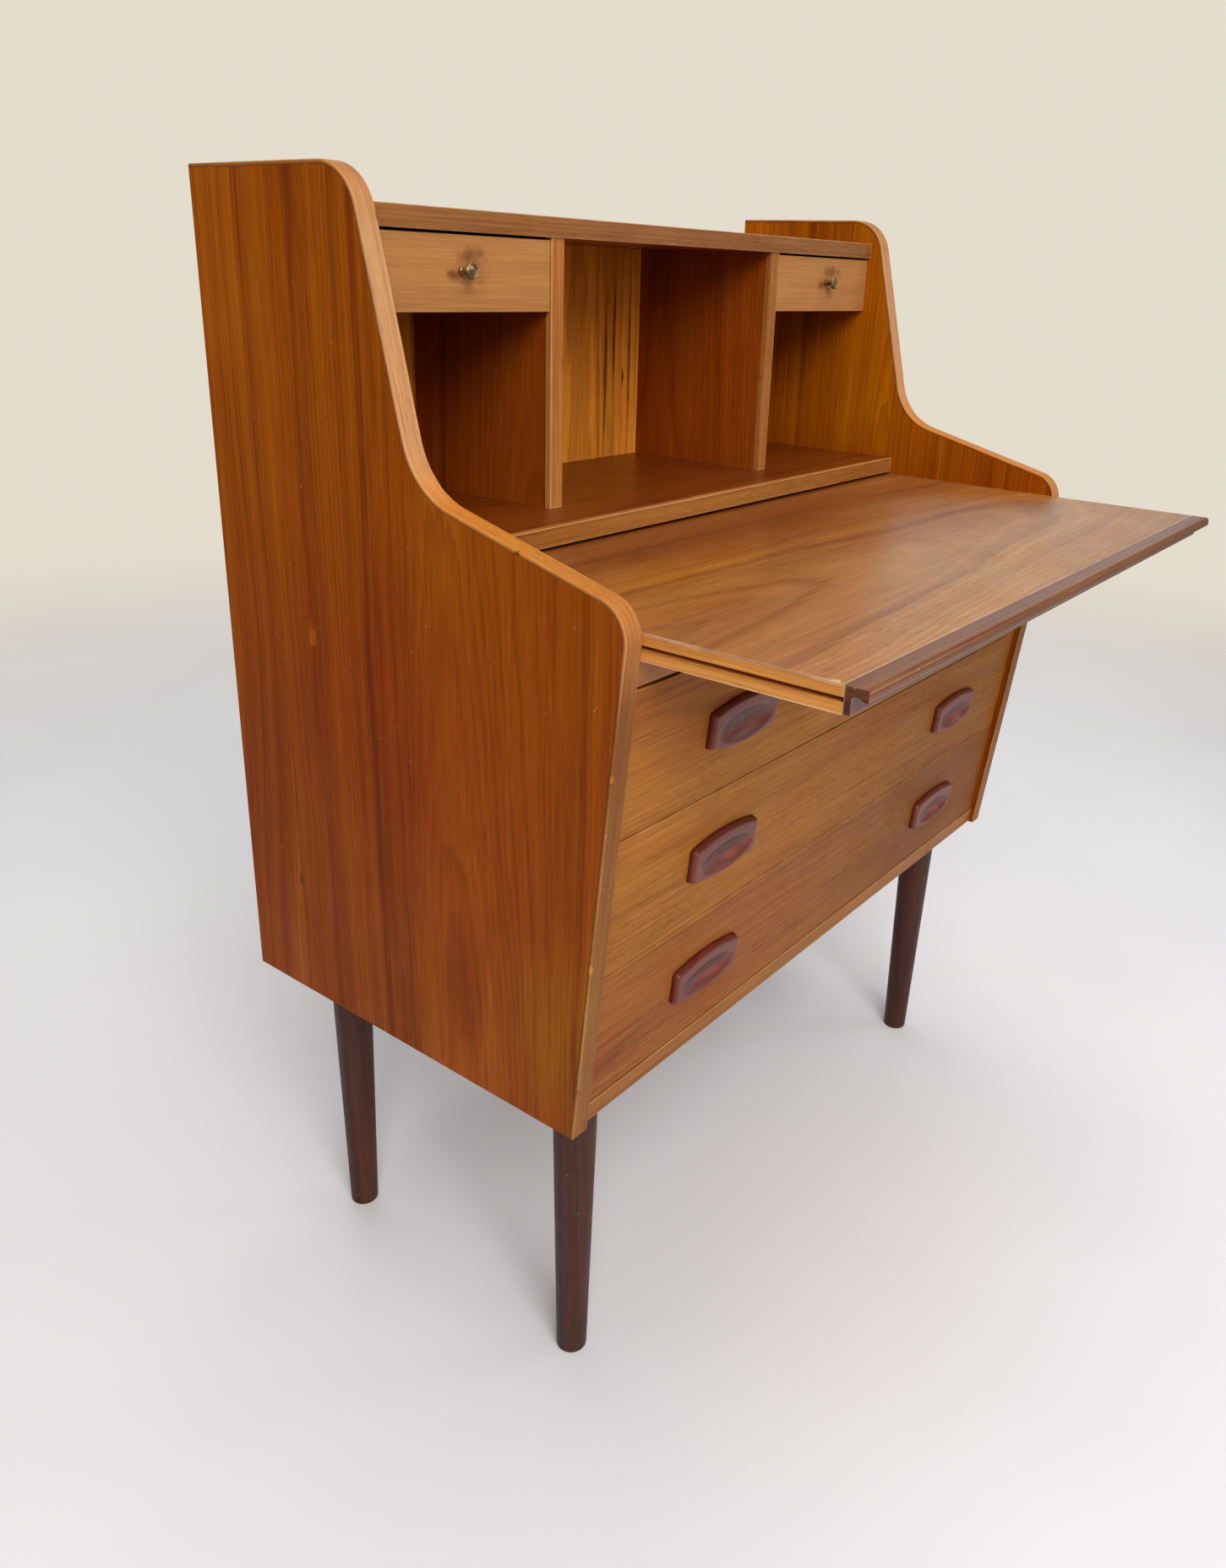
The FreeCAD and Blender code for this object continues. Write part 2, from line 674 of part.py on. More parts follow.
def leaf_back_rail():
    """The cross rail at the back of the leaf, which closes both grooves."""
    outer = leaf_half_width - leaf_skin_overhang
    return block(-outer, outer, leaf_back_rail_y, leaf_back_y,
                 leaf_bottom_z, writing_height - leaf_skin)


def leaf_lip():
    """The front lip: a rounded nose, a finger cove under it and a leg against the leaf."""
    nose_z = writing_height - lip_nose_height
    leg_y = leaf_lip_back_y - lip_leg_thickness
    nose_back_y = leaf_nose_y + 2 * lip_nose_radius
    cove_top_z = nose_z + lip_cove_rise
    outline = [(leaf_lip_back_y, leaf_bottom_z, 0.0), (leaf_lip_back_y, writing_height, 0.0),
               (leaf_nose_y, writing_height, lip_nose_radius),
               (leaf_nose_y, nose_z, lip_nose_under_radius),
               (leaf_nose_y + lip_nose_flat, nose_z, 0.0), (nose_back_y, cove_top_z, 0.0),
               (leg_y, cove_top_z, lip_cove_radius), (leg_y, leaf_bottom_z, lip_leg_radius)]
    face = rounded_face(outline, -leaf_half_width)
    return face.extrude(FreeCAD.Vector(2 * leaf_half_width, 0, 0))


def leaf_runner():
    """The steel strip in the right side that the leaf's groove slides on. Its ends are the stops."""
    front_y = leaf_lip_back_y + leaf_travel + sliding_gap
    end_y = leaf_back_rail_y - sliding_gap
    reach = runner_strip_width - runner_strip_seat - leaf_skin_overhang
    top = groove_top_z - sliding_gap
    return block(inner_x - reach, inner_x + runner_strip_seat, front_y, end_y,
                 top - runner_strip_thickness, top)


# ---------------------------------------------------------------- putting the desk together
def build():
    """Every piece of the desk, by node name."""
    parts = {}
    level_names = ("bottom", "middle", "top")
    drawer_cleats = []
    gallery_cleats = []
    runner_screws = []

    for level, name in enumerate(level_names):
        pieces, (cleat_y, middle_z) = wide_drawer(level)
        for piece, shape in pieces.items():
            parts[f"{name}_drawer_{piece}"] = shape
        front_z = bottom_top_z + drawer_gap + level * drawer_pitch
        parts[f"{name}_drawer_handles"] = both_sides(
            handle(handle_centre_x, front_z + drawer_height / 2))
        strip, fixings = screwed_runner(inner_x, drawer_outer_x - cleat_groove_depth, cleat_y,
                                        back_face_y - cleat_back_clearance, middle_z,
                                        cleat_height, wide_runner_screw)
        drawer_cleats += both_sides(strip)
        for fixing in fixings:
            runner_screws += both_sides(fixing)

    knob_z = (gallery_roof_z - gallery_drawer_top_gap - gallery_drawer_height / 2
              + knob_rise)
    bay_x = (inner_x + divider_outer_x) / 2
    for sign, name in ((-1, "left"), (1, "right")):
        pieces, (cleat_y, middle_z) = small_drawer(sign)
        this_knob = knob(sign * (bay_x + knob_from_bay_centre), knob_z)
        pieces["front"] = pieces["front"].cut(this_knob)
        sides = [pieces.pop("side_left"), pieces.pop("side_right")]
        for piece, shape in pieces.items():
            parts[f"gallery_drawer_{name}_{piece}"] = shape
        parts[f"gallery_drawer_{name}_sides"] = sides
        parts[f"gallery_drawer_{name}_knob"] = this_knob

    half = (inner_x - divider_outer_x) / 2 - gallery_drawer_side_gap
    strip_end_y = divider_front_y + gallery_drawer_recess + gallery_drawer_length
    for wall_x, way in ((inner_x, 1), (divider_outer_x, -1)):
        groove_x = bay_x + way * (half - gallery_groove_depth)
        strip, fixings = screwed_runner(wall_x, groove_x, cleat_y, strip_end_y, middle_z,
                                        gallery_cleat_height, small_runner_screw)
        gallery_cleats += both_sides(strip)
        for fixing in fixings:
            runner_screws += both_sides(fixing)

    parts["drawer_runners"] = drawer_cleats
    parts["gallery_drawer_runners"] = gallery_cleats
    parts["runner_screws"] = runner_screws
    parts["leaf_runners"] = both_sides(leaf_runner())

    screws = back_screws()
    dividers = both_sides(divider())
    bottom, bottom_edge = shelf(leg_length, bottom_thickness, None, bottom_recess)
    floor, floor_edge = shelf(gallery_floor_z, gallery_floor_thickness, gallery_floor_front_y)
    roof, roof_edge = shelf(gallery_roof_z, gallery_top_thickness, gallery_top_front_y)
    rail = front_rail()
    side, lipping = left_side_pieces()
    housed = [bottom, floor, roof, rail] + parts["leaf_runners"]
    fixings = screws + runner_screws
    parts["side_left"] = without(side, housed + fixings)
    parts["side_right"] = mirrored(parts["side_left"])
    parts["side_left_lipping"] = lipping
    parts["side_right_lipping"] = mirrored(lipping)

    legs = at_each_leg(leg())
    bolts = list(at_each_leg(leg_bolt()).values())
    nuts = list(at_each_leg(leg_nut()).values())
    parts["bottom_panel"] = without(bottom, bolts + nuts + screws)
    parts["bottom_lipping"] = bottom_edge
    parts["front_rail"] = rail
    parts["gallery_floor"] = without(floor, dividers + screws)
    parts["gallery_floor_lipping"] = floor_edge
    parts["gallery_top"] = without(roof, dividers + screws)
    parts["gallery_top_lipping"] = roof_edge
    parts["divider_left"] = without(dividers[1], runner_screws)
    parts["divider_right"] = without(dividers[0], runner_screws)
    parts["divider_lippings"] = both_sides(divider_lipping())
    lower_back, upper_back = back_panels()
    parts["lower_back"] = without(lower_back, screws)
    parts["gallery_back"] = without(upper_back, screws)
    parts["back_screws"] = screws
    for corner, shape in legs.items():
        parts[f"leg_{corner}"] = shape
    parts["leg_bolts"] = bolts
    parts["leg_nuts"] = nuts

    parts["leaf_panel"] = leaf_panel()
    parts["leaf_rail_right"] = leaf_rail()
    parts["leaf_rail_left"] = mirrored(parts["leaf_rail_right"])
    parts["leaf_back_rail"] = leaf_back_rail()
    parts["leaf_lip"] = leaf_lip()
    return parts


def main():
    """Write one STEP file for each node."""
    os.makedirs("parts", exist_ok=True)
    for name, shape in build().items():
        whole = Part.makeCompound(shape) if isinstance(shape, list) else shape
        whole.translated(FreeCAD.Vector(0, -origin_y, 0)).exportStep(f"parts/{name}.step")


main()
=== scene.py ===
"""Secretary desk: the looks of a veneered desk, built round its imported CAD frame.

The flat boards are the frame's own nodes with wood finishes. The pieces that catch the light on a
curve (lippings, leaf lip, handles, knobs, legs and screws) are surfaces worked out with numpy.
Metres, +X to the sitter's right, +Y towards the back, +Z up.
"""

import logging
import math
from dataclasses import dataclass, field, replace
from enum import Enum
from typing import Iterable, Sequence

import bpy
import numpy as np
from mathutils import Matrix, Vector


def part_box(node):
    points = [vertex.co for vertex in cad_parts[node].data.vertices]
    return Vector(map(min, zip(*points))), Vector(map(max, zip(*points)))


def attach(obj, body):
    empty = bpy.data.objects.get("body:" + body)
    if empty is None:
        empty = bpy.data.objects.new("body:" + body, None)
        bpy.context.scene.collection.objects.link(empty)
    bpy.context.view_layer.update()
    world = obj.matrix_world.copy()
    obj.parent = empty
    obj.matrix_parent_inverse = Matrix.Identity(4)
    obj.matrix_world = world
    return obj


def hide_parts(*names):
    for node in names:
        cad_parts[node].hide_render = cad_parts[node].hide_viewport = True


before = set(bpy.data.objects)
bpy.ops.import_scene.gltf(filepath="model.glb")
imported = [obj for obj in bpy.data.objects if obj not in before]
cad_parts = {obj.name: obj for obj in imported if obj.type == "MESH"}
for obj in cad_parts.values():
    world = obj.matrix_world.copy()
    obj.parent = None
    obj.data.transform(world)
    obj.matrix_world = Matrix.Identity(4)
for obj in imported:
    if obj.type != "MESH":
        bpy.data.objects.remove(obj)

LOG = logging.getLogger("desk")
Colour = tuple[float, float, float]
MM = 0.001
FRONT_LEAN = 0.094
SIDE_DEPTH = 408 * MM
RUN = "grain_run"
TAU = 2 * math.pi
DUST = (0.55, 0.46, 0.36)


def srgb(red: int, green: int, blue: int) -> Colour:
    """A colour as the eye reads it, 0 to 255, turned into linear light.

    Args:
        red: Red, 0 to 255.
        green: Green, 0 to 255.
        blue: Blue, 0 to 255.

    Returns:
        The linear colour.
    """
    parts = (channel / 255 for channel in (red, green, blue))
    return tuple(c / 12.92 if c <= 0.04045 else ((c + 0.055) / 1.055) ** 2.4 for c in parts)


# ------------------------------------------------------------------------------ node wiring
class Wiring:
    """Adds nodes to one node tree and joins them up."""

    def __init__(self, tree: bpy.types.NodeTree) -> None:
        """Start wiring a tree."""
        self.tree = tree

    def node(self, kind: str, inputs: dict | None = None, **settings: object) -> bpy.types.Node:
        """Add a node.

        Args:
            kind: The node's type name.
            inputs: Socket name or number to a value or to a socket to link from.
            settings: Properties of the node.

        Returns:
            The node.
        """
        made = self.tree.nodes.new(kind)
        for name, value in settings.items():
            setattr(made, name, value)
        for key, value in (inputs or {}).items():
            self.put(made.inputs[key], value)
        return made

    def put(self, socket: bpy.types.NodeSocket, value: object) -> None:
        """Link a socket into another, or set its plain value.

        Args:
            socket: The socket to fill.
            value: A socket to link from, or a value; a colour may come without its alpha.
        """
        if isinstance(value, bpy.types.NodeSocket):
            self.tree.links.new(value, socket)
        elif socket.type == "RGBA" and len(value) == 3:
            socket.default_value = (*value, 1.0)
        else:
            socket.default_value = value

    def math(self, operation: str, first: object, second: object = 0.0,
             clamp: bool = False) -> bpy.types.NodeSocket:
        """The result of a Math node on two values."""
        return self.node("ShaderNodeMath", {0: first, 1: second}, operation=operation,
                         use_clamp=clamp).outputs[0]

    def plus(self, first: object, second: object) -> bpy.types.NodeSocket:
        """One value plus another."""
        return self.math("ADD", first, second)

    def less(self, first: object, second: object) -> bpy.types.NodeSocket:
        """One value less another."""
        return self.math("SUBTRACT", first, second)

    def times(self, first: object, second: object, clamp: bool = False) -> bpy.types.NodeSocket:
        """One value times another, held to 0 to 1 if asked."""
        return self.math("MULTIPLY", first, second, clamp)

    def vector(self, operation: str, first: object, second: object) -> bpy.types.NodeSocket:
        """The result of a Vector Math node on two vectors."""
        return self.node("ShaderNodeVectorMath", {0: first, 1: second},
                         operation=operation).outputs[0]

    def scaled(self, vector: object, scale: object) -> bpy.types.NodeSocket:
        """A vector made longer or shorter."""
        return self.node("ShaderNodeVectorMath", {0: vector, "Scale": scale},
                         operation="SCALE").outputs[0]

    def split(self, vector: bpy.types.NodeSocket) -> Sequence[bpy.types.NodeSocket]:
        """The three parts of a vector."""
        return self.node("ShaderNodeSeparateXYZ", {0: vector}).outputs

    def joined(self, x: object, y: object, z: object) -> bpy.types.NodeSocket:
        """A vector from three values."""
        return self.node("ShaderNodeCombineXYZ", {0: x, 1: y, 2: z}).outputs[0]

    def noise(self, point: bpy.types.NodeSocket, stretch: Sequence[float], detail: float = 2.0,
              roughness: float = 0.5, colour: bool = False) -> bpy.types.NodeSocket:
        """Noise whose grains are the inverse of the stretch in size.

        Args:
            point: Where to read it.
            stretch: Grains per metre along each axis.
            detail: Octaves.
            roughness: Weight of the finer octaves.
            colour: True for three noises at once.

        Returns:
            The noise, about 0 to 1.
        """
        scaled = self.vector("MULTIPLY", point, tuple(stretch))
        made = self.node("ShaderNodeTexNoise", {"Vector": scaled, "Scale": 1.0, "Detail": detail,
                                                "Roughness": roughness})
        return made.outputs["Color" if colour else "Fac"]

    def step(self, value: object, low: object, high: object, to_low: float = 0.0,
             to_high: float = 1.0) -> bpy.types.NodeSocket:
        """A smooth step from to_low to to_high as the value goes from low to high.

        Args:
            value: What is measured.
            low: Where the step starts.
            high: Where it ends.
            to_low: What it gives at the start.
            to_high: What it gives at the end.

        Returns:
            The stepped value.
        """
        return self.node("ShaderNodeMapRange",
                         {"Value": value, "From Min": low, "From Max": high, "To Min": to_low,
                          "To Max": to_high}, interpolation_type="SMOOTHSTEP").outputs[0]

    def blend(self, share: object, first: object, second: object,
              how: str = "MIX") -> bpy.types.NodeSocket:
        """Two colours mixed by a share.

        Args:
            share: How much of the second, 0 to 1.
            first: The colour below.
            second: The colour above.
            how: The blend type.

        Returns:
            The mixed colour.
        """
        made = self.node("ShaderNodeMix", data_type="RGBA", blend_type=how)
        self.put(made.inputs["Factor"], share)
        self.put(made.inputs["A"], first)
        self.put(made.inputs["B"], second)
        return next(s for s in made.outputs if s.type == "RGBA")


class Effect:
    """A shared node group with named inputs and outputs, built once."""

    def __init__(self, name: str, inputs: dict[str, object], outputs: dict[str, str]) -> None:
        """Open the group.

        Args:
            name: The group's name.
            inputs: Socket name to its default; the default's kind sets the socket's kind.
            outputs: Socket name to "Float" or "Color".
        """
        self.tree = bpy.data.node_groups.new(name, "ShaderNodeTree")
        for key, value in inputs.items():
            kind = "Float" if isinstance(value, float) else "Color" if len(value) == 4 else "Vector"
            made = self.tree.interface.new_socket(key, in_out="INPUT",
                                                  socket_type=f"NodeSocket{kind}")
            made.default_value = value
        for key, kind in outputs.items():
            self.tree.interface.new_socket(key, in_out="OUTPUT", socket_type=f"NodeSocket{kind}")
        self.wires = Wiring(self.tree)
        self.given = self.wires.node("NodeGroupInput").outputs
        self.result = self.wires.node("NodeGroupOutput").inputs

    def place(self, wires: Wiring, inputs: dict[str, object]) -> bpy.types.Node:
        """Put the group into a material with its own values.

        Args:
            wires: The material's wiring.
            inputs: Socket name to a value or to a socket to link from.

        Returns:
            The group node.
        """
        made = wires.node("ShaderNodeGroup", node_tree=self.tree)
        for key, value in inputs.items():
            wires.put(made.inputs[key], value)
        return made


def wood_figure_effect() -> Effect:
    """The figure of a sawn or sliced board.

    Rings are cylinders round a heart line that rises slowly through the board, so a cut along it
    shows straight lines at its edges and arches in the middle. Each ring darkens slowly and ends
    sharply. Bands of rings differ in colour, fibres and short pores run along the grain, and
    veneer is laid in strips that each start somewhere else along the flitch.

    Returns:
        The effect, with Color, Height, Pores and Sheen outputs.
    """
    made = Effect("wood_figure",
                  {"Point": (0.0, 0.0, 0.0), "Dark": (0.1, 0.05, 0.02, 1.0),
                   "Middle": (0.3, 0.15, 0.06, 1.0), "Light": (0.5, 0.3, 0.12, 1.0),
                   "Ring Pitch": 0.004, "Heart Across": 0.0, "Heart Depth": 0.06, "Rise": 0.08,
                   "Wander": 0.03, "Ring Strength": 0.5, "Band Strength": 0.6,
                   "Streak Strength": 0.8, "Blotch": 0.5, "Pore Strength": 0.5,
                   "Pore Fineness": 1.0, "Strip Width": 10.0, "Strip Contrast": 0.0},
                  {"Color": "Color", "Height": "Float", "Pores": "Float", "Sheen": "Float"})
    w, given = made.wires, made.given
    strip = w.math("FLOOR", w.plus(w.math("DIVIDE", w.split(given["Point"])[1],
                                          given["Strip Width"]), 0.5))
    lot = w.node("ShaderNodeTexWhiteNoise", {"W": strip}, noise_dimensions="1D").outputs
    point = w.vector("ADD", given["Point"], w.vector("MULTIPLY", lot["Color"], (3.0, 0.08, 0.05)))
    drift = w.vector("SUBTRACT", w.noise(point, (1.6, 5.0, 5.0), 3.0, colour=True), (0.5,) * 3)
    along, across, depth = w.split(w.vector("ADD", point, w.scaled(drift, given["Wander"])))
    off_heart = w.less(across, given["Heart Across"])
    fall = w.plus(w.less(depth, given["Heart Depth"]), w.times(along, given["Rise"]))
    radius = w.math("SQRT", w.plus(w.times(off_heart, off_heart), w.times(fall, fall)))
    phase = w.plus(w.math("DIVIDE", radius, given["Ring Pitch"]),
                   w.times(w.noise(point, (9.0, 160.0, 160.0)), 0.7))
    year = w.math("FLOOR", phase)
    within = w.less(phase, year)
    chance = w.node("ShaderNodeTexWhiteNoise", {"W": year}, noise_dimensions="1D").outputs["Value"]
    ring = w.times(w.times(w.step(within, 0.25, 0.92), w.step(within, 1.0, 0.93)),
                   w.step(chance, 0.0, 1.0, 0.25, 1.0))
    band = w.node("ShaderNodeTexNoise",
                  {"W": w.math("DIVIDE", radius, w.times(given["Ring Pitch"], 7.0)),
                   "Scale": 1.0, "Detail": 3.0, "Roughness": 0.62},
                  noise_dimensions="1D").outputs["Fac"]
    fibre = w.noise(point, (16.0, 1300.0, 1300.0), 2.0, 0.7)
    streak = w.noise(point, (9.0, 360.0, 360.0), 3.0, 0.75)
    cloud = w.noise(point, (2.2, 9.0, 9.0), 3.0)
    pore_field = w.noise(w.scaled(point, given["Pore Fineness"]), (80.0, 1500.0, 1500.0), 1.0, 0.4)
    pore_zone = w.step(w.noise(point, (3.0, 26.0, 26.0)), 0.42, 0.66)
    pores = w.times(w.step(pore_field, 0.60, 0.72),
                    w.times(given["Pore Strength"], w.plus(w.times(pore_zone, 0.75), 0.25)), True)
    patchy = w.plus(w.times(w.less(cloud, 0.5), 0.5),
                    w.times(w.less(lot["Value"], 0.5), given["Strip Contrast"]))
    tone = w.plus(w.times(w.less(band, 0.5), given["Band Strength"]),
                  w.plus(w.times(w.less(streak, 0.5), given["Streak Strength"]), patchy))
    base = w.blend(w.step(tone, -0.38, 0.05), given["Dark"], given["Middle"])
    base = w.blend(w.step(tone, -0.02, 0.42), base, given["Light"])
    base = w.blend(w.times(ring, given["Ring Strength"], True), base, given["Dark"])
    blotch = w.step(w.noise(point, (5.0, 12.0, 12.0), 3.0, 0.55), 0.46, 0.68)
    base = w.blend(w.times(blotch, given["Blotch"]), base,
                   w.blend(1.0, base, (0.90, 0.72, 0.55), "MULTIPLY"))
    shade = w.step(fibre, 0.25, 0.75, 0.84, 1.14)
    base = w.blend(1.0, base, w.joined(shade, shade, shade), "MULTIPLY")
    base = w.blend(w.times(pores, 0.62), base, (0.035, 0.012, 0.005))
    w.put(made.result["Color"], base)
    w.put(made.result["Pores"], pores)
    w.put(made.result["Sheen"], w.step(w.plus(cloud, w.times(fibre, 0.4)), 0.35, 1.0))
    w.put(made.result["Height"], w.less(w.times(fibre, 0.25), w.plus(pores, w.times(ring, 0.2))))
    return made


def edge_wear_effect() -> Effect:
    """Where a board's edges are rubbed pale, and where a painted highlight runs along them.

    The three distances from a point to the nearest faces of the board's box are sorted. On a face
    the smallest is nothing, so the second is the way to the nearest edge. The Wear And Highlight
    mask is where that is small, broken up by noise: rubbed pale patches that also stand in for
    light caught on the edges, so it is partly painted highlight. A leaning front is set upright
    before it is measured.

    Returns:
        The effect, with a Wear And Highlight mask and a Rim mask that isn't broken up, which is a
        painted highlight along every edge.
    """
    made = Effect("edge_wear", {"Point": (0.0, 0.0, 0.0), "Low": (0.0, 0.0, 0.0),
                                "High": (1.0, 1.0, 1.0), "Lean": 0.0, "Width": 0.0012},
                  {"Wear And Highlight": "Float", "Rim": "Float"})
    w, given = made.wires, made.given
    upright = w.joined(0.0, w.times(w.split(given["Point"])[2], given["Lean"]), 0.0)
    point = w.vector("ADD", given["Point"], upright)
    near = w.node("ShaderNodeVectorMath",
                  {0: w.vector("MINIMUM", w.vector("SUBTRACT", point, given["Low"]),
                               w.vector("SUBTRACT", given["High"], point))},
                  operation="ABSOLUTE").outputs[0]
    a, b, c = w.split(near)
    second = w.math("MAXIMUM", w.math("MINIMUM", a, b),
                    w.math("MINIMUM", w.math("MAXIMUM", a, b), c))
    patch = w.noise(given["Point"], (45.0, 45.0, 45.0), 3.0, 0.65)
    w.put(made.result["Rim"], w.step(second, given["Width"], 0.0))
    w.put(made.result["Wear And Highlight"], w.times(w.step(patch, 0.40, 0.66),
                                       w.step(second, w.times(given["Width"], 1.6), 0.0)))
    return made


def handling_effect() -> Effect:
    """Smudges and fine dust: broad clouds, and specks that are few and small.

    Returns:
        The effect, with Smudge and Specks masks.
    """
    made = Effect("handling", {"Point": (0.0, 0.0, 0.0)}, {"Smudge": "Float", "Specks": "Float"})
    w, given = made.wires, made.given
    cloud = w.noise(given["Point"], (14.0, 14.0, 14.0), 4.0, 0.6)
    swirl = w.noise(given["Point"], (48.0, 48.0, 48.0), 2.0)
    w.put(made.result["Smudge"], w.step(w.plus(cloud, w.times(swirl, 0.35)), 0.45, 0.95))
    speck = w.node("ShaderNodeTexVoronoi",
                   {"Vector": given["Point"], "Scale": 42.0, "Randomness": 1.0})
    w.put(made.result["Specks"], w.step(speck.outputs["Distance"], 0.050, 0.025))
    return made


# ------------------------------------------------------------------------------ finishes
class Grain(Enum):
    """Which way the grain runs, as (along, across, into the board) axes."""

    ALONG_X_LYING = (0, 1, 2)
    ALONG_X_UPRIGHT = (0, 2, 1)
    ALONG_Y_UPRIGHT = (1, 2, 0)
    UP_ON_SIDE = (2, 1, 0)
    UP_ON_FRONT = (2, 0, 1)
    ALONG_RUN = None


@dataclass(frozen=True)
class Mark:
    """A soft-edged patch tinted lighter or darker than the rest of its board, used both for real
    stains, knocks and smudges and for painted light and shade.
    """

    centre: tuple[float, float, float]
    half: tuple[float, float, float]
    tint: Colour
    soft: float = 0.35
    ragged: float = 0.5
    grains: float = 30.0

    def paint(self, w: Wiring, seen: bpy.types.NodeSocket,
              colour: bpy.types.NodeSocket) -> bpy.types.NodeSocket:
        """The colour times the tint inside the patch.

        The patch is an ellipsoid: its measure is the length of the way from the centre over the
        half sizes, made ragged by noise, and it fades out from 1 less the softness to 1.

        Args:
            w: The material's wiring.
            seen: The object coordinates.
            colour: The colour so far.

        Returns:
            The new colour.
        """
        away = w.vector("DIVIDE", w.vector("SUBTRACT", seen, self.centre), self.half)
        far = w.node("ShaderNodeVectorMath", {0: away}, operation="LENGTH").outputs["Value"]
        rough = w.noise(seen, (self.grains,) * 3, 3.0, 0.6)
        edge = w.plus(far, w.times(w.less(rough, 0.5), 2 * self.ragged))
        return w.blend(w.step(edge, 1.0, 1.0 - self.soft), colour,
                       w.blend(1.0, colour, self.tint, "MULTIPLY"))


@dataclass(frozen=True)
class WoodFinish:
    """One kind of polished wood, from its colours to its gloss."""

    name: str
    dark: Colour
    middle: Colour
    light: Colour
    # The colour of rubbed pale edges and of the painted highlight along the edges.
    worn_and_highlight: Colour
    ring_pitch: float = 0.0042
    heart_depth: float = 0.07
    rise: float = 0.05
    wander: float = 0.03
    ring_strength: float = 0.45
    band_strength: float = 1.1
    streak_strength: float = 0.7
    blotch: float = 0.5
    pore_strength: float = 0.5
    pore_fineness: float = 1.0
    strip_width: float = 10.0
    strip_contrast: float = 0.0
    roughness: tuple[float, float] = (0.36, 0.5)
    coat: float = 0.25
    coat_roughness: float = 0.25
    specular: float = 0.35
    bump: float = 0.12
    # Strengths of the pale edge patches, partly rubbing and partly painted highlight, and of the
    # rim, a painted highlight along every edge.
    wear: float = 0.5
    rim: float = 0.25

    def dress(self, piece: str, grain: Grain, low: Vector, high: Vector, seed: int,
              lean: float = 0.0, heart: float | None = None,
              marks: Sequence[Mark] = ()) -> bpy.types.Material:
        """The material of one board.

        Args:
            piece: The board's name.
            grain: Which way its grain runs.
            low: Lowest corner of its box, for the rubbed pale patches and painted highlight on its
                edges.
            high: Highest corner of its box.
            seed: Picks the stretch of timber it was cut from.
            lean: How far its front leans forwards per metre of height.
            heart: Where the tree's heart lies across the board, or None for by chance.
            marks: Lighter or darker areas, both its own stains and knocks and painted light and
                shade.

        Returns:
            The material.
        """
        draw = np.random.default_rng(seed)
        made = bpy.data.materials.new(f"{self.name}.{piece}")
        made.use_nodes = True
        made.node_tree.nodes.clear()
        w = Wiring(made.node_tree)
        seen = w.node("ShaderNodeTexCoord").outputs["Object"]
        if grain is Grain.ALONG_RUN:
            turned = w.node("ShaderNodeAttribute", attribute_name=RUN).outputs["Vector"]
            middle = (0.0, 0.0, 0.0)
        else:
            axes = grain.value
            parts = w.split(seen)
            turned = w.joined(*(parts[axis] for axis in axes))
            centre = (low + high) / 2
            middle = tuple(centre[axis] for axis in axes)
        across = middle[1] + (draw.uniform(-0.12, 0.12) if heart is None else heart)
        shift = (draw.uniform(-9.0, 9.0), 0.0, -middle[2])
        rise = self.rise * draw.choice((-1.0, 1.0))
        figure = EFFECTS["figure"].place(w, {
            "Point": w.vector("ADD", turned, shift), "Dark": self.dark, "Middle": self.middle,
            "Light": self.light, "Ring Pitch": self.ring_pitch, "Heart Across": across,
            "Heart Depth": self.heart_depth + rise * (shift[0] + middle[0]), "Rise": rise,
            "Wander": self.wander, "Ring Strength": self.ring_strength,
            "Band Strength": self.band_strength, "Streak Strength": self.streak_strength,
            "Blotch": self.blotch, "Pore Strength": self.pore_strength,
            "Pore Fineness": self.pore_fineness,
            "Strip Width": self.strip_width, "Strip Contrast": self.strip_contrast}).outputs
        wear = EFFECTS["wear"].place(w, {"Point": seen, "Low": tuple(low), "High": tuple(high),
                                         "Lean": lean}).outputs
        use = EFFECTS["handling"].place(w, {"Point": seen}).outputs
        colour = figure["Color"]
        for mark in marks:
            colour = mark.paint(w, seen, colour)
        # Painted highlight: the Rim mask pales every edge of the board, and the Wear And Highlight
        # mask pales patches of the edges, partly rubbing and partly painted highlight.
        for mask, strength, over in ((wear["Rim"], self.rim, self.worn_and_highlight),
                                     (wear["Wear And Highlight"], self.wear, self.worn_and_highlight),
                                     (use["Smudge"], 0.10, self.dark),
                                     (use["Specks"], 0.22, DUST)):
            colour = w.blend(w.times(mask, strength), colour, over)
        dull = w.math("ADD", w.times(use["Smudge"], 0.45),
                      w.plus(w.times(figure["Pores"], 0.5), w.times(figure["Sheen"], 0.3)), True)
        roughness = w.step(dull, 0.0, 1.0, *self.roughness)
        bump = w.node("ShaderNodeBump", {"Height": figure["Height"], "Strength": self.bump,
                                         "Distance": 0.0004})
        shader = w.node("ShaderNodeBsdfPrincipled",
                        {"Base Color": colour, "Roughness": roughness,
                         "Normal": bump.outputs[0], "Coat Weight": self.coat,
                         "Coat Roughness": self.coat_roughness,
                         "Specular IOR Level": self.specular})
        w.node("ShaderNodeOutputMaterial", {"Surface": shader.outputs[0]})
        return made


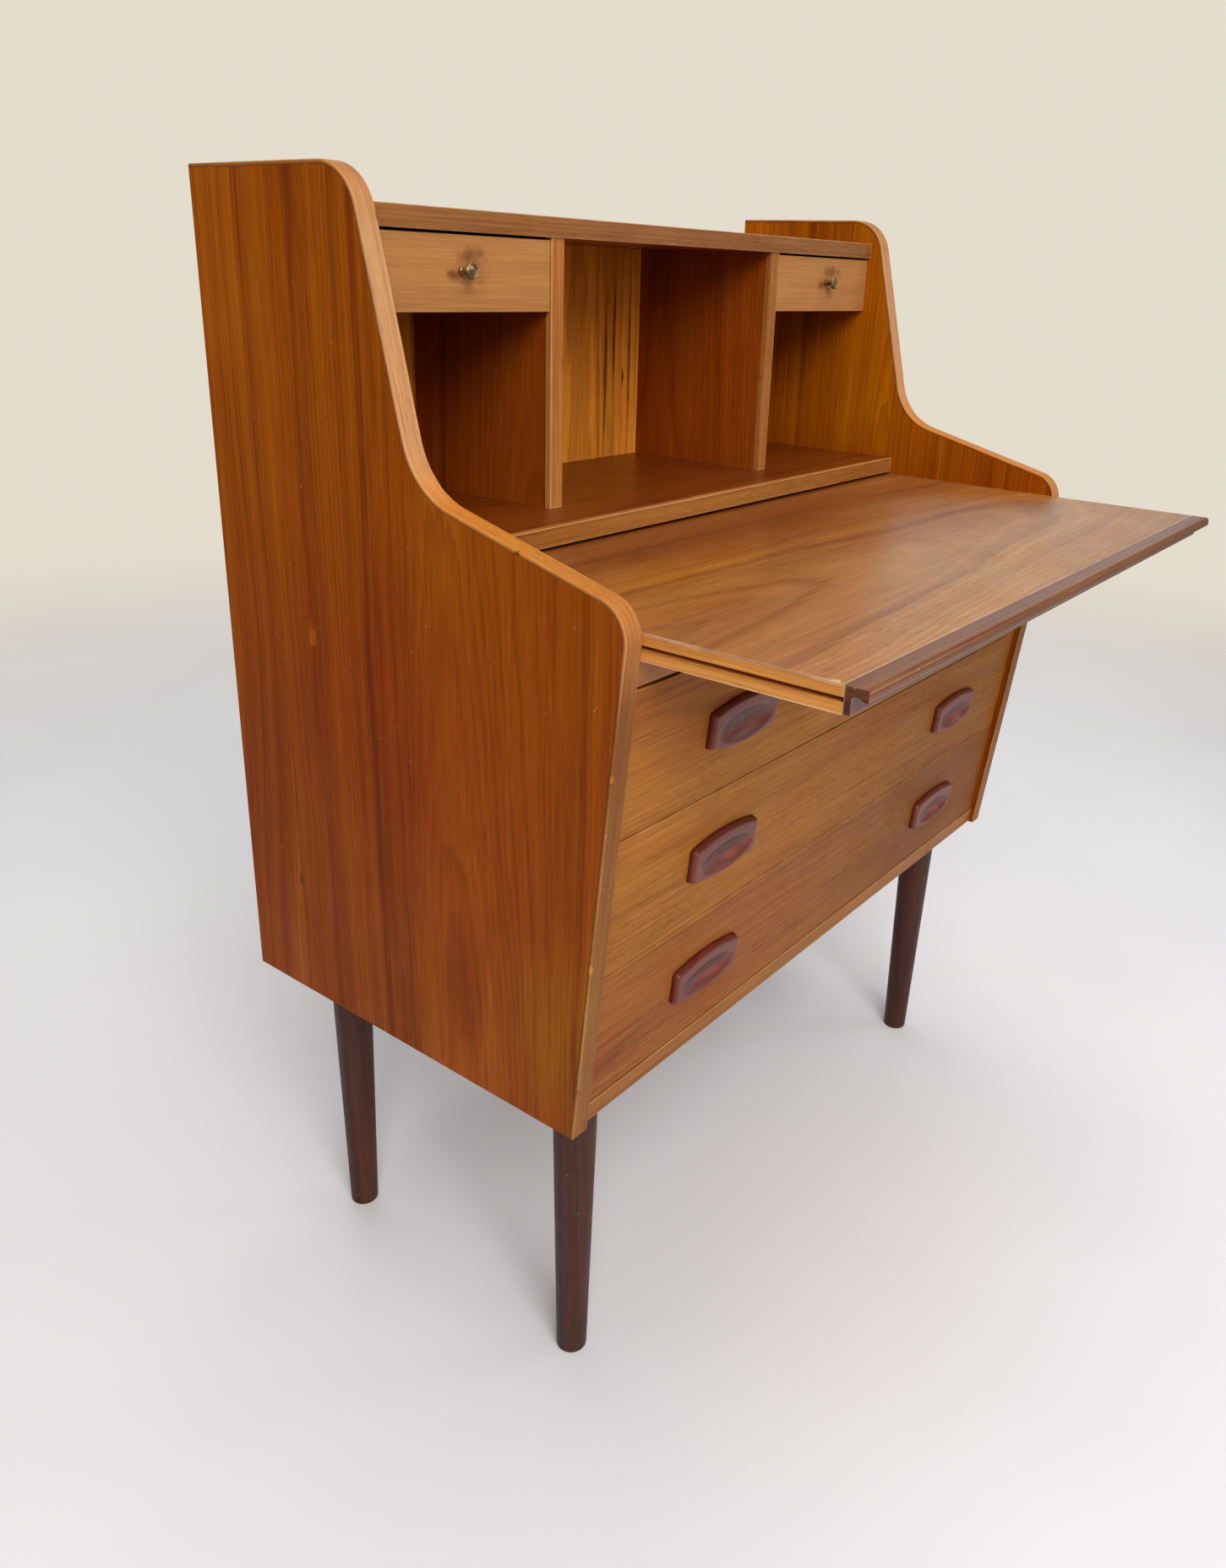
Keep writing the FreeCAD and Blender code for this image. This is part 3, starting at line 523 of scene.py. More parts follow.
@dataclass(frozen=True)
class MetalFinish:
    """A metal that has tarnished in its hollows and stays bright where it is rubbed."""

    name: str
    bright: Colour
    tarnished: Colour
    roughness: tuple[float, float]
    grains: float = 900.0
    tarnish: float = 0.5

    def dress(self, piece: str, seed: int) -> bpy.types.Material:
        """The material of one metal piece.

        Args:
            piece: The piece's name.
            seed: Picks the pattern of its tarnish.

        Returns:
            The material.
        """
        made = bpy.data.materials.new(f"{self.name}.{piece}")
        made.use_nodes = True
        made.node_tree.nodes.clear()
        w = Wiring(made.node_tree)
        seen = w.vector("ADD", w.node("ShaderNodeTexCoord").outputs["Object"],
                        (seed * 0.37, seed * 0.11, seed * 0.23))
        cloud = w.noise(seen, (170.0, 170.0, 170.0), 3.0, 0.5)
        scratch = w.noise(seen, (self.grains * 0.1, self.grains, self.grains), 2.0)
        mask = w.step(w.plus(cloud, w.times(scratch, 0.25)),
                      0.75 - self.tarnish * 0.4, 0.95 - self.tarnish * 0.3)
        bump = w.node("ShaderNodeBump", {"Height": scratch, "Strength": 0.08,
                                         "Distance": 0.0002})
        shader = w.node("ShaderNodeBsdfPrincipled",
                        {"Base Color": w.blend(mask, self.bright, self.tarnished),
                         "Metallic": 1.0, "Roughness": w.step(mask, 0.0, 1.0, *self.roughness),
                         "Normal": bump.outputs[0]})
        w.node("ShaderNodeOutputMaterial", {"Surface": shader.outputs[0]})
        return made


SIDE_VENEER = WoodFinish(
    "side_veneer", srgb(106, 40, 1), srgb(150, 72, 2), srgb(178, 98, 10), srgb(112, 52, 14),
    ring_pitch=0.0050, heart_depth=0.035, rise=0.045, wander=0.045, ring_strength=0.40,
    band_strength=1.0, streak_strength=0.6, pore_strength=0.5, strip_width=0.155,
    strip_contrast=0.16, roughness=(0.42, 0.56), coat=0.0, specular=0.07, rim=0.1)
BACK_VENEER = replace(
    SIDE_VENEER, name="back_veneer", dark=srgb(104, 46, 8), middle=srgb(222, 138, 44),
    light=srgb(244, 176, 84), strip_width=0.17, strip_contrast=0.1, ring_strength=0.45,
    ring_pitch=0.012, heart_depth=0.02, rise=0.05, band_strength=1.1)
DIVIDER_VENEER = replace(
    SIDE_VENEER, name="divider_veneer", dark=srgb(104, 42, 4), middle=srgb(142, 66, 12),
    light=srgb(162, 84, 20), strip_width=10.0, strip_contrast=0.0)
SHELF_VENEER = replace(
    SIDE_VENEER, name="shelf_veneer", dark=srgb(78, 30, 2), middle=srgb(112, 50, 4),
    light=srgb(136, 70, 8), strip_width=10.0, pore_strength=0.4, roughness=(0.30, 0.44),
    band_strength=0.9, specular=0.35)
TOP_VENEER = replace(SHELF_VENEER, name="top_veneer", middle=srgb(150, 86, 40))
RAIL_VENEER = replace(
    SHELF_VENEER, name="rail_veneer", dark=srgb(130, 78, 32), middle=srgb(170, 114, 58),
    light=srgb(192, 136, 74), specular=0.2, wear=0.4)
DRAWER_VENEER = WoodFinish(
    "drawer_veneer", srgb(120, 66, 18), srgb(164, 104, 38), srgb(188, 130, 56),
    srgb(200, 150, 84), ring_pitch=0.0040, heart_depth=0.11, rise=0.012, wander=0.022,
    ring_strength=0.26, band_strength=0.5, streak_strength=0.85, pore_strength=1.0,
    blotch=0.75,
    roughness=(0.42, 0.58), coat=0.0, specular=0.09, rim=0.4)
RED_DRAWER_VENEER = replace(
    DRAWER_VENEER, name="red_drawer_veneer", dark=srgb(110, 54, 18), middle=srgb(152, 91, 38),
    light=srgb(178, 116, 54))
SMALL_FRONT_VENEER = replace(
    DRAWER_VENEER, name="small_front_veneer", dark=srgb(130, 80, 38), middle=srgb(178, 124, 72),
    light=srgb(198, 144, 90), ring_pitch=0.0075, heart_depth=0.2, ring_strength=0.16,
    band_strength=0.5, streak_strength=0.4, pore_strength=0.35, blotch=0.35, rim=0.2)
LEAF_VENEER = WoodFinish(
    "leaf_veneer", srgb(116, 60, 20), srgb(166, 106, 46), srgb(192, 137, 68),
    srgb(214, 170, 140), ring_pitch=0.0052, heart_depth=0.040, rise=0.065, wander=0.055,
    ring_strength=0.38, band_strength=1.1, streak_strength=0.5, pore_strength=1.0,
    pore_fineness=0.5,
    roughness=(0.30, 0.46), coat=0.40, coat_roughness=0.32, specular=0.5, bump=0.2, rim=0.6,
    wear=0.9)
LIPPING_WOOD = WoodFinish(
    "lipping_wood", srgb(150, 100, 60), srgb(196, 146, 100), srgb(216, 170, 124),
    srgb(224, 180, 130), ring_pitch=0.0034, heart_depth=0.03, rise=0.006, wander=0.010,
    ring_strength=0.34, band_strength=0.8, pore_strength=1.0, roughness=(0.38, 0.52), coat=0.0,
    specular=0.1, rim=0.15, wear=0.2)
SHELF_LIPPING_WOOD = replace(
    LIPPING_WOOD, name="shelf_lipping_wood", dark=srgb(116, 66, 24), middle=srgb(160, 102, 46),
    light=srgb(184, 126, 64), rim=0.3)
TOP_LIPPING_WOOD = replace(
    SHELF_LIPPING_WOOD, name="top_lipping_wood", dark=srgb(94, 53, 24), middle=srgb(139, 90, 48),
    light=srgb(161, 112, 64))
DIVIDER_LIPPING_WOOD = replace(
    LIPPING_WOOD, name="divider_lipping_wood", dark=srgb(140, 84, 36), middle=srgb(184, 122, 62),
    light=srgb(206, 146, 80), rim=0.3)
LEAF_LIP_WOOD = replace(
    LIPPING_WOOD, name="leaf_lip_wood", dark=srgb(78, 37, 15), middle=srgb(112, 64, 29),
    light=srgb(136, 87, 44), roughness=(0.30, 0.36), coat=0.5, coat_roughness=0.24, rim=0.0,
    wear=0.0, band_strength=1.1, bump=0.05)
END_GRAIN = replace(
    LIPPING_WOOD, name="end_grain", dark=srgb(56, 26, 19), middle=srgb(88, 46, 34),
    light=srgb(116, 68, 49), ring_pitch=0.0016, roughness=(0.45, 0.6), coat=0.05, rim=0.3)
BEECH = WoodFinish(
    "beech", srgb(160, 92, 28), srgb(218, 146, 66), srgb(236, 180, 106), srgb(244, 208, 158),
    ring_pitch=0.0030, heart_depth=0.05, rise=0.010, wander=0.012, ring_strength=0.35,
    band_strength=0.9, pore_strength=0.35, roughness=(0.5, 0.66), coat=0.0, rim=0.45)
PALE_BEECH = replace(
    BEECH, name="pale_beech", dark=srgb(164, 120, 74), middle=srgb(202, 162, 112),
    light=srgb(220, 186, 138), ring_strength=0.22)
PLYWOOD = replace(
    PALE_BEECH, name="plywood", dark=srgb(150, 110, 70), middle=srgb(190, 150, 104),
    light=srgb(206, 170, 124), ring_pitch=0.009, heart_depth=0.25, wander=0.06,
    roughness=(0.6, 0.75))
LEG_WOOD = WoodFinish(
    "leg_wood", srgb(40, 15, 9), srgb(70, 31, 19), srgb(94, 48, 30), srgb(110, 66, 42),
    ring_pitch=0.0030, heart_depth=0.05, rise=0.01, wander=0.012, ring_strength=0.5,
    band_strength=0.9, pore_strength=0.5, roughness=(0.44, 0.6), coat=0.0, specular=0.3,
    rim=0.0, wear=0.0)
HANDLE_WOOD = WoodFinish(
    "handle_wood", srgb(66, 26, 20), srgb(114, 50, 36), srgb(148, 74, 50), srgb(150, 90, 60),
    ring_pitch=0.0028, heart_depth=0.03, rise=0.01, wander=0.008, ring_strength=0.3,
    band_strength=0.6, streak_strength=0.3, pore_strength=0.3, roughness=(0.40, 0.50), coat=0.12,
    coat_roughness=0.34, specular=0.35, rim=0.0, wear=0.0, bump=0.03)
BRASS = MetalFinish("aged_brass", (0.43, 0.30, 0.125), (0.15, 0.10, 0.042), (0.30, 0.46),
                    tarnish=0.75)
STEEL = MetalFinish("dull_steel", (0.50, 0.49, 0.46), (0.17, 0.14, 0.11), (0.34, 0.55),
                    tarnish=0.4)

EFFECTS: dict[str, Effect] = {}


# ------------------------------------------------------------------------------ mesh making
def mesh_piece(name: str, points: np.ndarray, faces: Iterable[Sequence[int]], body: str,
               replaces: Sequence[str] = (), run: np.ndarray | None = None,
               flat_from: int | None = None) -> bpy.types.Object:
    """Make a piece from points and faces, and fix it to a body.

    Args:
        name: The piece's name.
        points: Its points, (n, 3).
        faces: Rings of point numbers, turned so that the face looks outwards.
        body: The body it moves with.
        replaces: The CAD nodes it stands for.
        run: Optional (n, 3) of how far each point is along and across the grain.
        flat_from: Faces from this one on are flat and use the second material.

    Returns:
        The object.
    """
    mesh = bpy.data.meshes.new(name)
    mesh.from_pydata(np.asarray(points, float).tolist(), [], [list(map(int, f)) for f in faces])
    count = len(mesh.polygons)
    smooth = np.ones(count, bool)
    slots = np.zeros(count, np.int32)
    if flat_from is not None:
        smooth[flat_from:] = False
        slots[flat_from:] = 1
    mesh.polygons.foreach_set("use_smooth", smooth)
    if run is not None:
        mesh.attributes.new(RUN, "FLOAT_VECTOR", "POINT").data.foreach_set(
            "vector", np.asarray(run, np.float32).ravel())
    made = bpy.data.objects.new(name, mesh)
    bpy.context.scene.collection.objects.link(made)
    for _ in range(2 if flat_from is not None else 1):
        mesh.materials.append(None)
    mesh.polygons.foreach_set("material_index", slots)
    mesh.update()
    if replaces:
        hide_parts(*replaces)
    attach(made, body)
    LOG.info("%s: %d faces on %s", name, count, body)
    return made


def tube_faces(rings: int, around: int, flip: bool = False) -> np.ndarray:
    """The four-sided faces of a surface made of closed rings.

    Args:
        rings: How many rings.
        around: Points in each ring.
        flip: True turns the faces over.

    Returns:
        Point numbers, ((rings - 1) * around, 4).
    """
    row, col = np.meshgrid(np.arange(rings - 1), np.arange(around), indexing="ij")
    after = (col + 1) % around
    faces = np.stack([row * around + col, row * around + after,
                      (row + 1) * around + after, (row + 1) * around + col], -1).reshape(-1, 4)
    return faces[:, ::-1] if flip else faces


def rounded_path(corners: Sequence[tuple[float, float, float]], step: float,
                 arc_steps: int = 14) -> np.ndarray:
    """A run of straights whose corners are arcs that touch both.

    The arc at a corner begins the corner's radius over the tangent of half its angle away, and
    its points turn evenly about a centre on the line that halves the corner.

    Args:
        corners: (y, z, radius) of each corner; the first and last are the ends.
        step: About how far apart the points on a straight are.
        arc_steps: How many steps make one arc.

    Returns:
        The points, (n, 2).
    """
    places = np.array([c[:2] for c in corners], float)
    pieces = [places[:1]]
    for index in range(1, len(corners) - 1):
        here, radius = places[index], corners[index][2]
        back = places[index - 1] - here
        ahead = places[index + 1] - here
        back, ahead = back / np.linalg.norm(back), ahead / np.linalg.norm(ahead)
        half = math.acos(float(np.clip(back @ ahead, -1, 1))) / 2
        if radius <= 0.0:
            pieces.append(here[None])
            continue
        reach = radius / math.tan(half)
        middle = back + ahead
        centre = here + middle / np.linalg.norm(middle) * radius / math.sin(half)
        start, end = here + back * reach - centre, here + ahead * reach - centre
        sweep = math.pi - 2 * half
        turn = np.linspace(0, sweep, arc_steps + 1)[:, None]
        pieces.append(centre + (start * np.sin(sweep - turn) + end * np.sin(turn))
                      / math.sin(sweep))
    pieces.append(places[-1:])
    bends = [pieces[0]]
    for arc in pieces[1:]:
        start, end = bends[-1][-1], arc[0]
        count = max(int(np.linalg.norm(end - start) / step), 1)
        share = np.linspace(0, 1, count + 1)[1:-1, None]
        bends.append(np.concatenate([start + (end - start) * share, arc]))
    return np.concatenate(bends)


def along_path(points: np.ndarray) -> tuple[np.ndarray, np.ndarray]:
    """How far along a path each point is, and the way the path runs there.

    The way is the difference between the neighbours on both sides, made one long.

    Args:
        points: The path, (n, 2).

    Returns:
        The lengths, (n,), and the ways, (n, 2).
    """
    hops = np.linalg.norm(np.diff(points, axis=0), axis=1)
    ways = np.gradient(points, axis=0)
    return (np.concatenate([[0.0], np.cumsum(hops)]),
            ways / np.linalg.norm(ways, axis=1, keepdims=True))


def wavering(length: np.ndarray, seed: int, waves: int = 9, shortest: float = 0.02) -> np.ndarray:
    """A smooth line that wavers by chance: a sum of sines of random length.

    Args:
        length: Where to read it, in metres.
        seed: Picks the sines.
        waves: How many sines.
        shortest: The shortest wave.

    Returns:
        The line, about -1 to 1.
    """
    draw = np.random.default_rng(seed)
    sizes = shortest * 2.0 ** draw.uniform(0, 4, waves)
    starts = draw.uniform(0, TAU, waves)
    return np.sin(length[:, None] * TAU / sizes + starts).sum(1) / math.sqrt(waves) / 1.6


def turned_piece(profile: np.ndarray, around: int) -> tuple[np.ndarray, list[Sequence[int]]]:
    """A profile of (radius, height) turned about the Z axis, its two ends closed at poles.

    Each point is (radius cos a, radius sin a, height) with a going once round.

    Args:
        profile: (n, 2) from the lower end to the upper end, its first and last radius above 0.
        around: Points in a ring.

    Returns:
        The points and the faces.
    """
    angle = np.linspace(0, TAU, around, endpoint=False)
    ring = np.stack([np.cos(angle), np.sin(angle)], -1)
    walls = np.concatenate([profile[:, None, :1] * ring[None],
                            np.broadcast_to(profile[:, None, 1:], (len(profile), around, 1))], -1)
    points = np.concatenate([walls.reshape(-1, 3), [[0, 0, profile[0, 1]], [0, 0, profile[-1, 1]]]])
    faces = tube_faces(len(profile), around).tolist()
    first, last = len(points) - 2, len(points) - 1
    top = (len(profile) - 1) * around
    col = np.arange(around)
    after = (col + 1) % around
    faces += np.stack([np.full(around, first), after, col], -1).tolist()
    faces += np.stack([np.full(around, last), top + col, top + after], -1).tolist()
    return points, faces


# ------------------------------------------------------------------------------ sub-assemblies
@dataclass
class SideLipping:
    """The solid edging round the shaped edge of a side, as a section carried along its outline."""

    thickness: float = 3 * MM
    arris: float = 1.4 * MM
    elbow_from_back: float = 246.6 * MM
    elbow_above_leaf: float = 69 * MM
    crest_from_back: float = 188.95 * MM
    arm_fall: float = 0.257
    radii: tuple[float, float, float] = (42 * MM, 62 * MM, 30 * MM)
    step: float = 2.5 * MM
    arris_steps: int = 5
    # Painted light and shade along the run, as (share of the run, tint): brighter on the arm,
    # darker down the front, and a grey painted highlight on the stretch from 0.22 to 0.36.
    light_and_shade_tints: tuple[tuple[float, Colour], ...] = (
        (0.0, (0.60, 0.44, 0.20)), (0.16, (0.64, 0.46, 0.20)), (0.22, (0.88, 0.88, 0.90)),
        (0.36, (0.92, 0.86, 0.82)), (0.41, (0.90, 0.62, 0.20)), (0.55, (0.84, 0.60, 0.24)),
        (0.60, (0.72, 0.58, 0.42)), (0.64, (0.42, 0.30, 0.13)), (1.0, (0.48, 0.36, 0.17)))
    scars: tuple[tuple[float, float, float], ...] = (
        (0.632, 2.6 * MM, 2.1), (0.587, 1.8 * MM, 1.7), (0.541, 1.4 * MM, 0.5),
        (0.472, 3.4 * MM, 2.0), (0.431, 1.6 * MM, 1.8), (0.356, 2.2 * MM, 0.5))
    chip: tuple[float, float, float] = (-0.041, 0.776, 3.4 * MM)
    nicks: int = 9
    nick_half: tuple[float, float] = (1.2 * MM, 3.0 * MM)
    nick_depth: tuple[float, float] = (0.3 * MM, 0.8 * MM)
    nick_reach: tuple[float, float] = (1.4 * MM, 1.2 * MM)
    glue_line: tuple[float, float] = (0.5 * MM, 0.15 * MM)
    # Where the painted highlight along the arris lies round the section, and its half width.
    arris_at: float = 2.7 * MM
    highlight_half: tuple[float, float] = (1.3 * MM, 0.2 * MM)

    def outline(self, low: Vector, high: Vector, leaf_top: float) -> np.ndarray:
        """The outline from the back top corner forwards and down to the foot, as (y, z).

        Args:
            low: Lowest corner of the CAD lipping.
            high: Highest corner of the CAD lipping.
            leaf_top: Height of the writing surface.

        Returns:
            The points, (n, 2).
        """
        back, top, foot = high.y, high.z, low.z
        elbow = (back - self.elbow_from_back, leaf_top + self.elbow_above_leaf)
        toe_y = back - SIDE_DEPTH
        edge_z = elbow[1] - self.arm_fall * (elbow[0] - toe_y)
        nose_y = -FRONT_LEAN * (edge_z - foot) / (1 + FRONT_LEAN * self.arm_fall)
        corners = [(back, top, 0.0), (back - self.crest_from_back, top, self.radii[0]),
                   (*elbow, self.radii[1]),
                   (toe_y + nose_y, edge_z + self.arm_fall * nose_y, self.radii[2]),
                   (toe_y, foot, 0.0)]
        return rounded_path(corners, self.step)

    def section(self, half: float, arris: np.ndarray) -> tuple[np.ndarray, np.ndarray]:
        """The section as (across, inwards) for each ring, its two outer arrises rounded.

        Args:
            half: Half the side's thickness.
            arris: The arris radius at each ring.

        Returns:
            Across and inwards, each (rings, points in the section).
        """
        turn = np.linspace(0, math.pi / 2, self.arris_steps + 1)
        r = arris[:, None]
        wide = np.full_like(r, half)
        deep = np.full_like(r, self.thickness)
        round_x = wide - r + r * np.cos(turn)
        round_n = r - r * np.sin(turn)
        flat = np.linspace(0.8, -0.8, 5)
        across = np.concatenate([wide, round_x, (wide - r) * flat, -round_x[:, ::-1], -wide], 1)
        inwards = np.concatenate([deep, round_n, 0 * r + 0 * flat, round_n[:, ::-1], deep], 1)
        return across, inwards

    def build(self, side: str, sign: int, seed: int) -> None:
        """Build the lipping of one side.

        Args:
            side: "left" or "right".
            sign: -1 for left, 1 for right.
            seed: Picks its timber and its nicks.
        """
        node = f"side_{side}_lipping"
        low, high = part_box(node)
        path = self.outline(low, high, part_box("leaf_panel")[1].z)
        length, way = along_path(path)
        inward = np.stack([-way[:, 1], way[:, 0]], -1)
        arris = self.arris * (1 + 0.22 * wavering(length, seed))
        across, inwards = self.section((high.x - low.x) / 2, arris)
        across, inwards = self.nicked(length, across, inwards, seed)
        flat = path[:, None, :] + inward[:, None, :] * inwards[:, :, None]
        drop = (low.z - flat[-1, :, 1]) / way[-1, 1]
        flat[-1] += way[-1] * drop[:, None]
        flat[0, :, 0] = high.y
        x = (low.x + high.x) / 2 + sign * across
        points = np.concatenate([x[..., None], flat], -1)
        rings, around = across.shape
        hop = np.linalg.norm(np.diff(np.stack([across, inwards], -1), axis=1), axis=2)
        over = np.concatenate([np.zeros((rings, 1)), np.cumsum(hop, 1)], 1)
        run = np.stack([np.broadcast_to(length[:, None], across.shape), over,
                        np.zeros_like(over)], -1)
        flip = sign < 0
        faces = tube_faces(rings, around, flip).tolist()
        start, end = list(range(around)), list(range((rings - 1) * around, rings * around))
        faces += [start if flip else start[::-1], end[::-1] if flip else end]
        made = mesh_piece(f"{node}_run", points.reshape(-1, 3), faces, "carcass",
                          [node], run.reshape(-1, 3))
        made.data.materials[0] = self.finish(node, float(over[0, -1]), float(length[-1]), seed)

    def nicked(self, length: np.ndarray, across: np.ndarray, inwards: np.ndarray,
               seed: int) -> tuple[np.ndarray, np.ndarray]:
        """Press a few small nicks into the outer arrises.

        Each nick is a round dent a millimetre or two long: a bell along the run times a bell
        towards the arris, taken off the section.

        Args:
            length: How far along each ring is.
            across: The section across the side, (rings, around).
            inwards: The section into the side, (rings, around).
            seed: Picks the nicks.

        Returns:
            Across and inwards with the nicks.
        """
        draw = np.random.default_rng(seed + 50)
        wide = np.abs(across).max()
        side_reach, deep_reach = self.nick_reach
        for _ in range(self.nicks):
            place = draw.uniform(0.05, 0.97) * length[-1]
            half, edge = draw.uniform(*self.nick_half), draw.choice((-1, 1))
            bell = np.exp(-((length - place) / half) ** 2)[:, None]
            near = np.exp(-((across - edge * wide) / side_reach) ** 2
                          - (inwards / deep_reach) ** 2)
            dent = bell * near * draw.uniform(*self.nick_depth)
            across = across - edge * dent
            inwards = inwards + dent
        return across, inwards

    def damage(self, low: Vector, high: Vector, seed: int) -> list[Mark]:
        """The knocks on the front edge and the chip on the arm, as marks.

        Args:
            low: Lowest corner of the lipping.
            high: Highest corner of the lipping.
            seed: Odd seeds have their knocks on the other arris.

        Returns:
            The marks.
        """
        x = high.x if seed % 2 else low.x
        toe = high.y - SIDE_DEPTH
        knocks = [Mark((x, toe - FRONT_LEAN * (z - low.z), z), (half, half, 1.5 * half),
                       (k, k, k), 0.6, 0.5, 320.0) for z, half, k in self.scars]
        y, z, half = self.chip
        return knocks + [Mark((x, y, z), (half, half, half), (0.35, 0.28, 0.25), 0.5, 0.6, 400.0)]

    def finish(self, node: str, width: float, length: float, seed: int) -> bpy.types.Material:
        """The wood of the lipping, with a dark glue line where it meets the veneer, painted light
        and shade along its run, and a painted highlight along each arris.

        Args:
            node: The CAD node's name.
            width: How far it is round the section.
            length: How long the lipping is.
            seed: Picks its timber.

        Returns:
            The material.
        """
        low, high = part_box(node)
        made = LIPPING_WOOD.dress(node, Grain.ALONG_RUN, low, high, seed, heart=0.02,
                                  marks=self.damage(low, high, seed))
        w = Wiring(made.node_tree)
        shader = next(n for n in made.node_tree.nodes if n.type == "BSDF_PRINCIPLED")
        wood = shader.inputs["Base Color"].links[0].from_socket
        along, over, _ = w.split(w.node("ShaderNodeAttribute",
                                        attribute_name=RUN).outputs["Vector"])
        patch = w.noise(w.joined(along, 0.0, 0.0), (9.0, 1.0, 1.0), 2.0)
        # Painted light and shade: the wood is tinted along the run from the light and shade tints.
        ramp = w.node("ShaderNodeValToRGB", {0: w.math("DIVIDE", along, length)})
        for number, (place, tint) in enumerate(self.light_and_shade_tints):
            stop = (ramp.color_ramp.elements[number] if number < 2
                    else ramp.color_ramp.elements.new(place))
            stop.position, stop.color = place, (*tint, 1.0)
        wood = w.blend(1.0, wood, ramp.outputs[0], "MULTIPLY")
        edge = w.math("MINIMUM", over, w.less(width, over))
        seam = w.step(edge, *self.glue_line)
        # Painted highlight: a pale line along the rounded arris, broken up by noise.
        from_arris = w.math("ABSOLUTE", w.less(edge, self.arris_at))
        painted_highlight = w.times(w.step(from_arris, *self.highlight_half),
                         w.step(patch, 0.35, 0.65, 0.05, 0.4))
        wood = w.blend(painted_highlight, wood, srgb(214, 150, 84))
        w.put(shader.inputs["Base Color"], w.blend(w.times(seam, 0.7), wood, srgb(70, 32, 14)))
        return made


@dataclass
class LeafLip:
    """The shaped front edge of the leaf: a nose profile carried straight across."""

    nose_height: float = 8.6 * MM
    nose_radius: float = 3.6 * MM
    under_radius: float = 1.6 * MM
    nose_flat: float = 4.0 * MM
    cove_rise: float = 2.0 * MM
    cove_radius: float = 3.0 * MM
    leg_thickness: float = 5.0 * MM
    leg_radius: float = 1.2 * MM
    stations: int = 25

    def build(self, seed: int) -> None:
        """Build the lip from its CAD box and dress its long faces and its end grain.

        The outline's points, (y, z), are repeated at even stations across the desk.

        Args:
            seed: Picks its timber.
        """
        low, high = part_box("leaf_lip")
        front, back, bottom, top = low.y, high.y, low.z, high.z
        under = top - self.nose_height
        cove_top = under + self.cove_rise
        leg = back - self.leg_thickness
        outline = rounded_path(
            [(back, bottom, 0.0), (back, top, 0.0), (front, top, self.nose_radius),
             (front, under, self.under_radius), (front + self.nose_flat, under, 0.0),
             (front + 2 * self.nose_radius, cove_top, 0.0), (leg, cove_top, self.cove_radius),
             (leg, bottom, self.leg_radius), (back - 1 * MM, bottom, 0.0)], 1.0, 8)
        around = len(outline)
        x = np.linspace(low.x, high.x, self.stations)
        points = np.concatenate([
            np.broadcast_to(x[:, None, None], (self.stations, around, 1)),
            np.broadcast_to(outline[None], (self.stations, around, 2))], -1).reshape(-1, 3)
        faces = tube_faces(self.stations, around).tolist()
        walls = len(faces)
        faces += [list(range(around))[::-1],
                  list(range((self.stations - 1) * around, self.stations * around))]
        made = mesh_piece("leaf_lip_nosed", points, faces, "leaf", ["leaf_lip"],
                          flat_from=walls)
        sharpen(made, 50)
        made.data.materials[0] = LEAF_LIP_WOOD.dress("leaf_lip", Grain.ALONG_X_LYING, low, high,
                                                     seed)
        made.data.materials[1] = END_GRAIN.dress("leaf_lip_end", Grain.ALONG_Y_UPRIGHT, low, high,
                                                 seed + 1)


def sharpen(piece: bpy.types.Object, degrees: float) -> None:
    """Keep edges that turn by more than this many degrees sharp."""
    piece.data.set_sharp_from_angle(angle=math.radians(degrees))


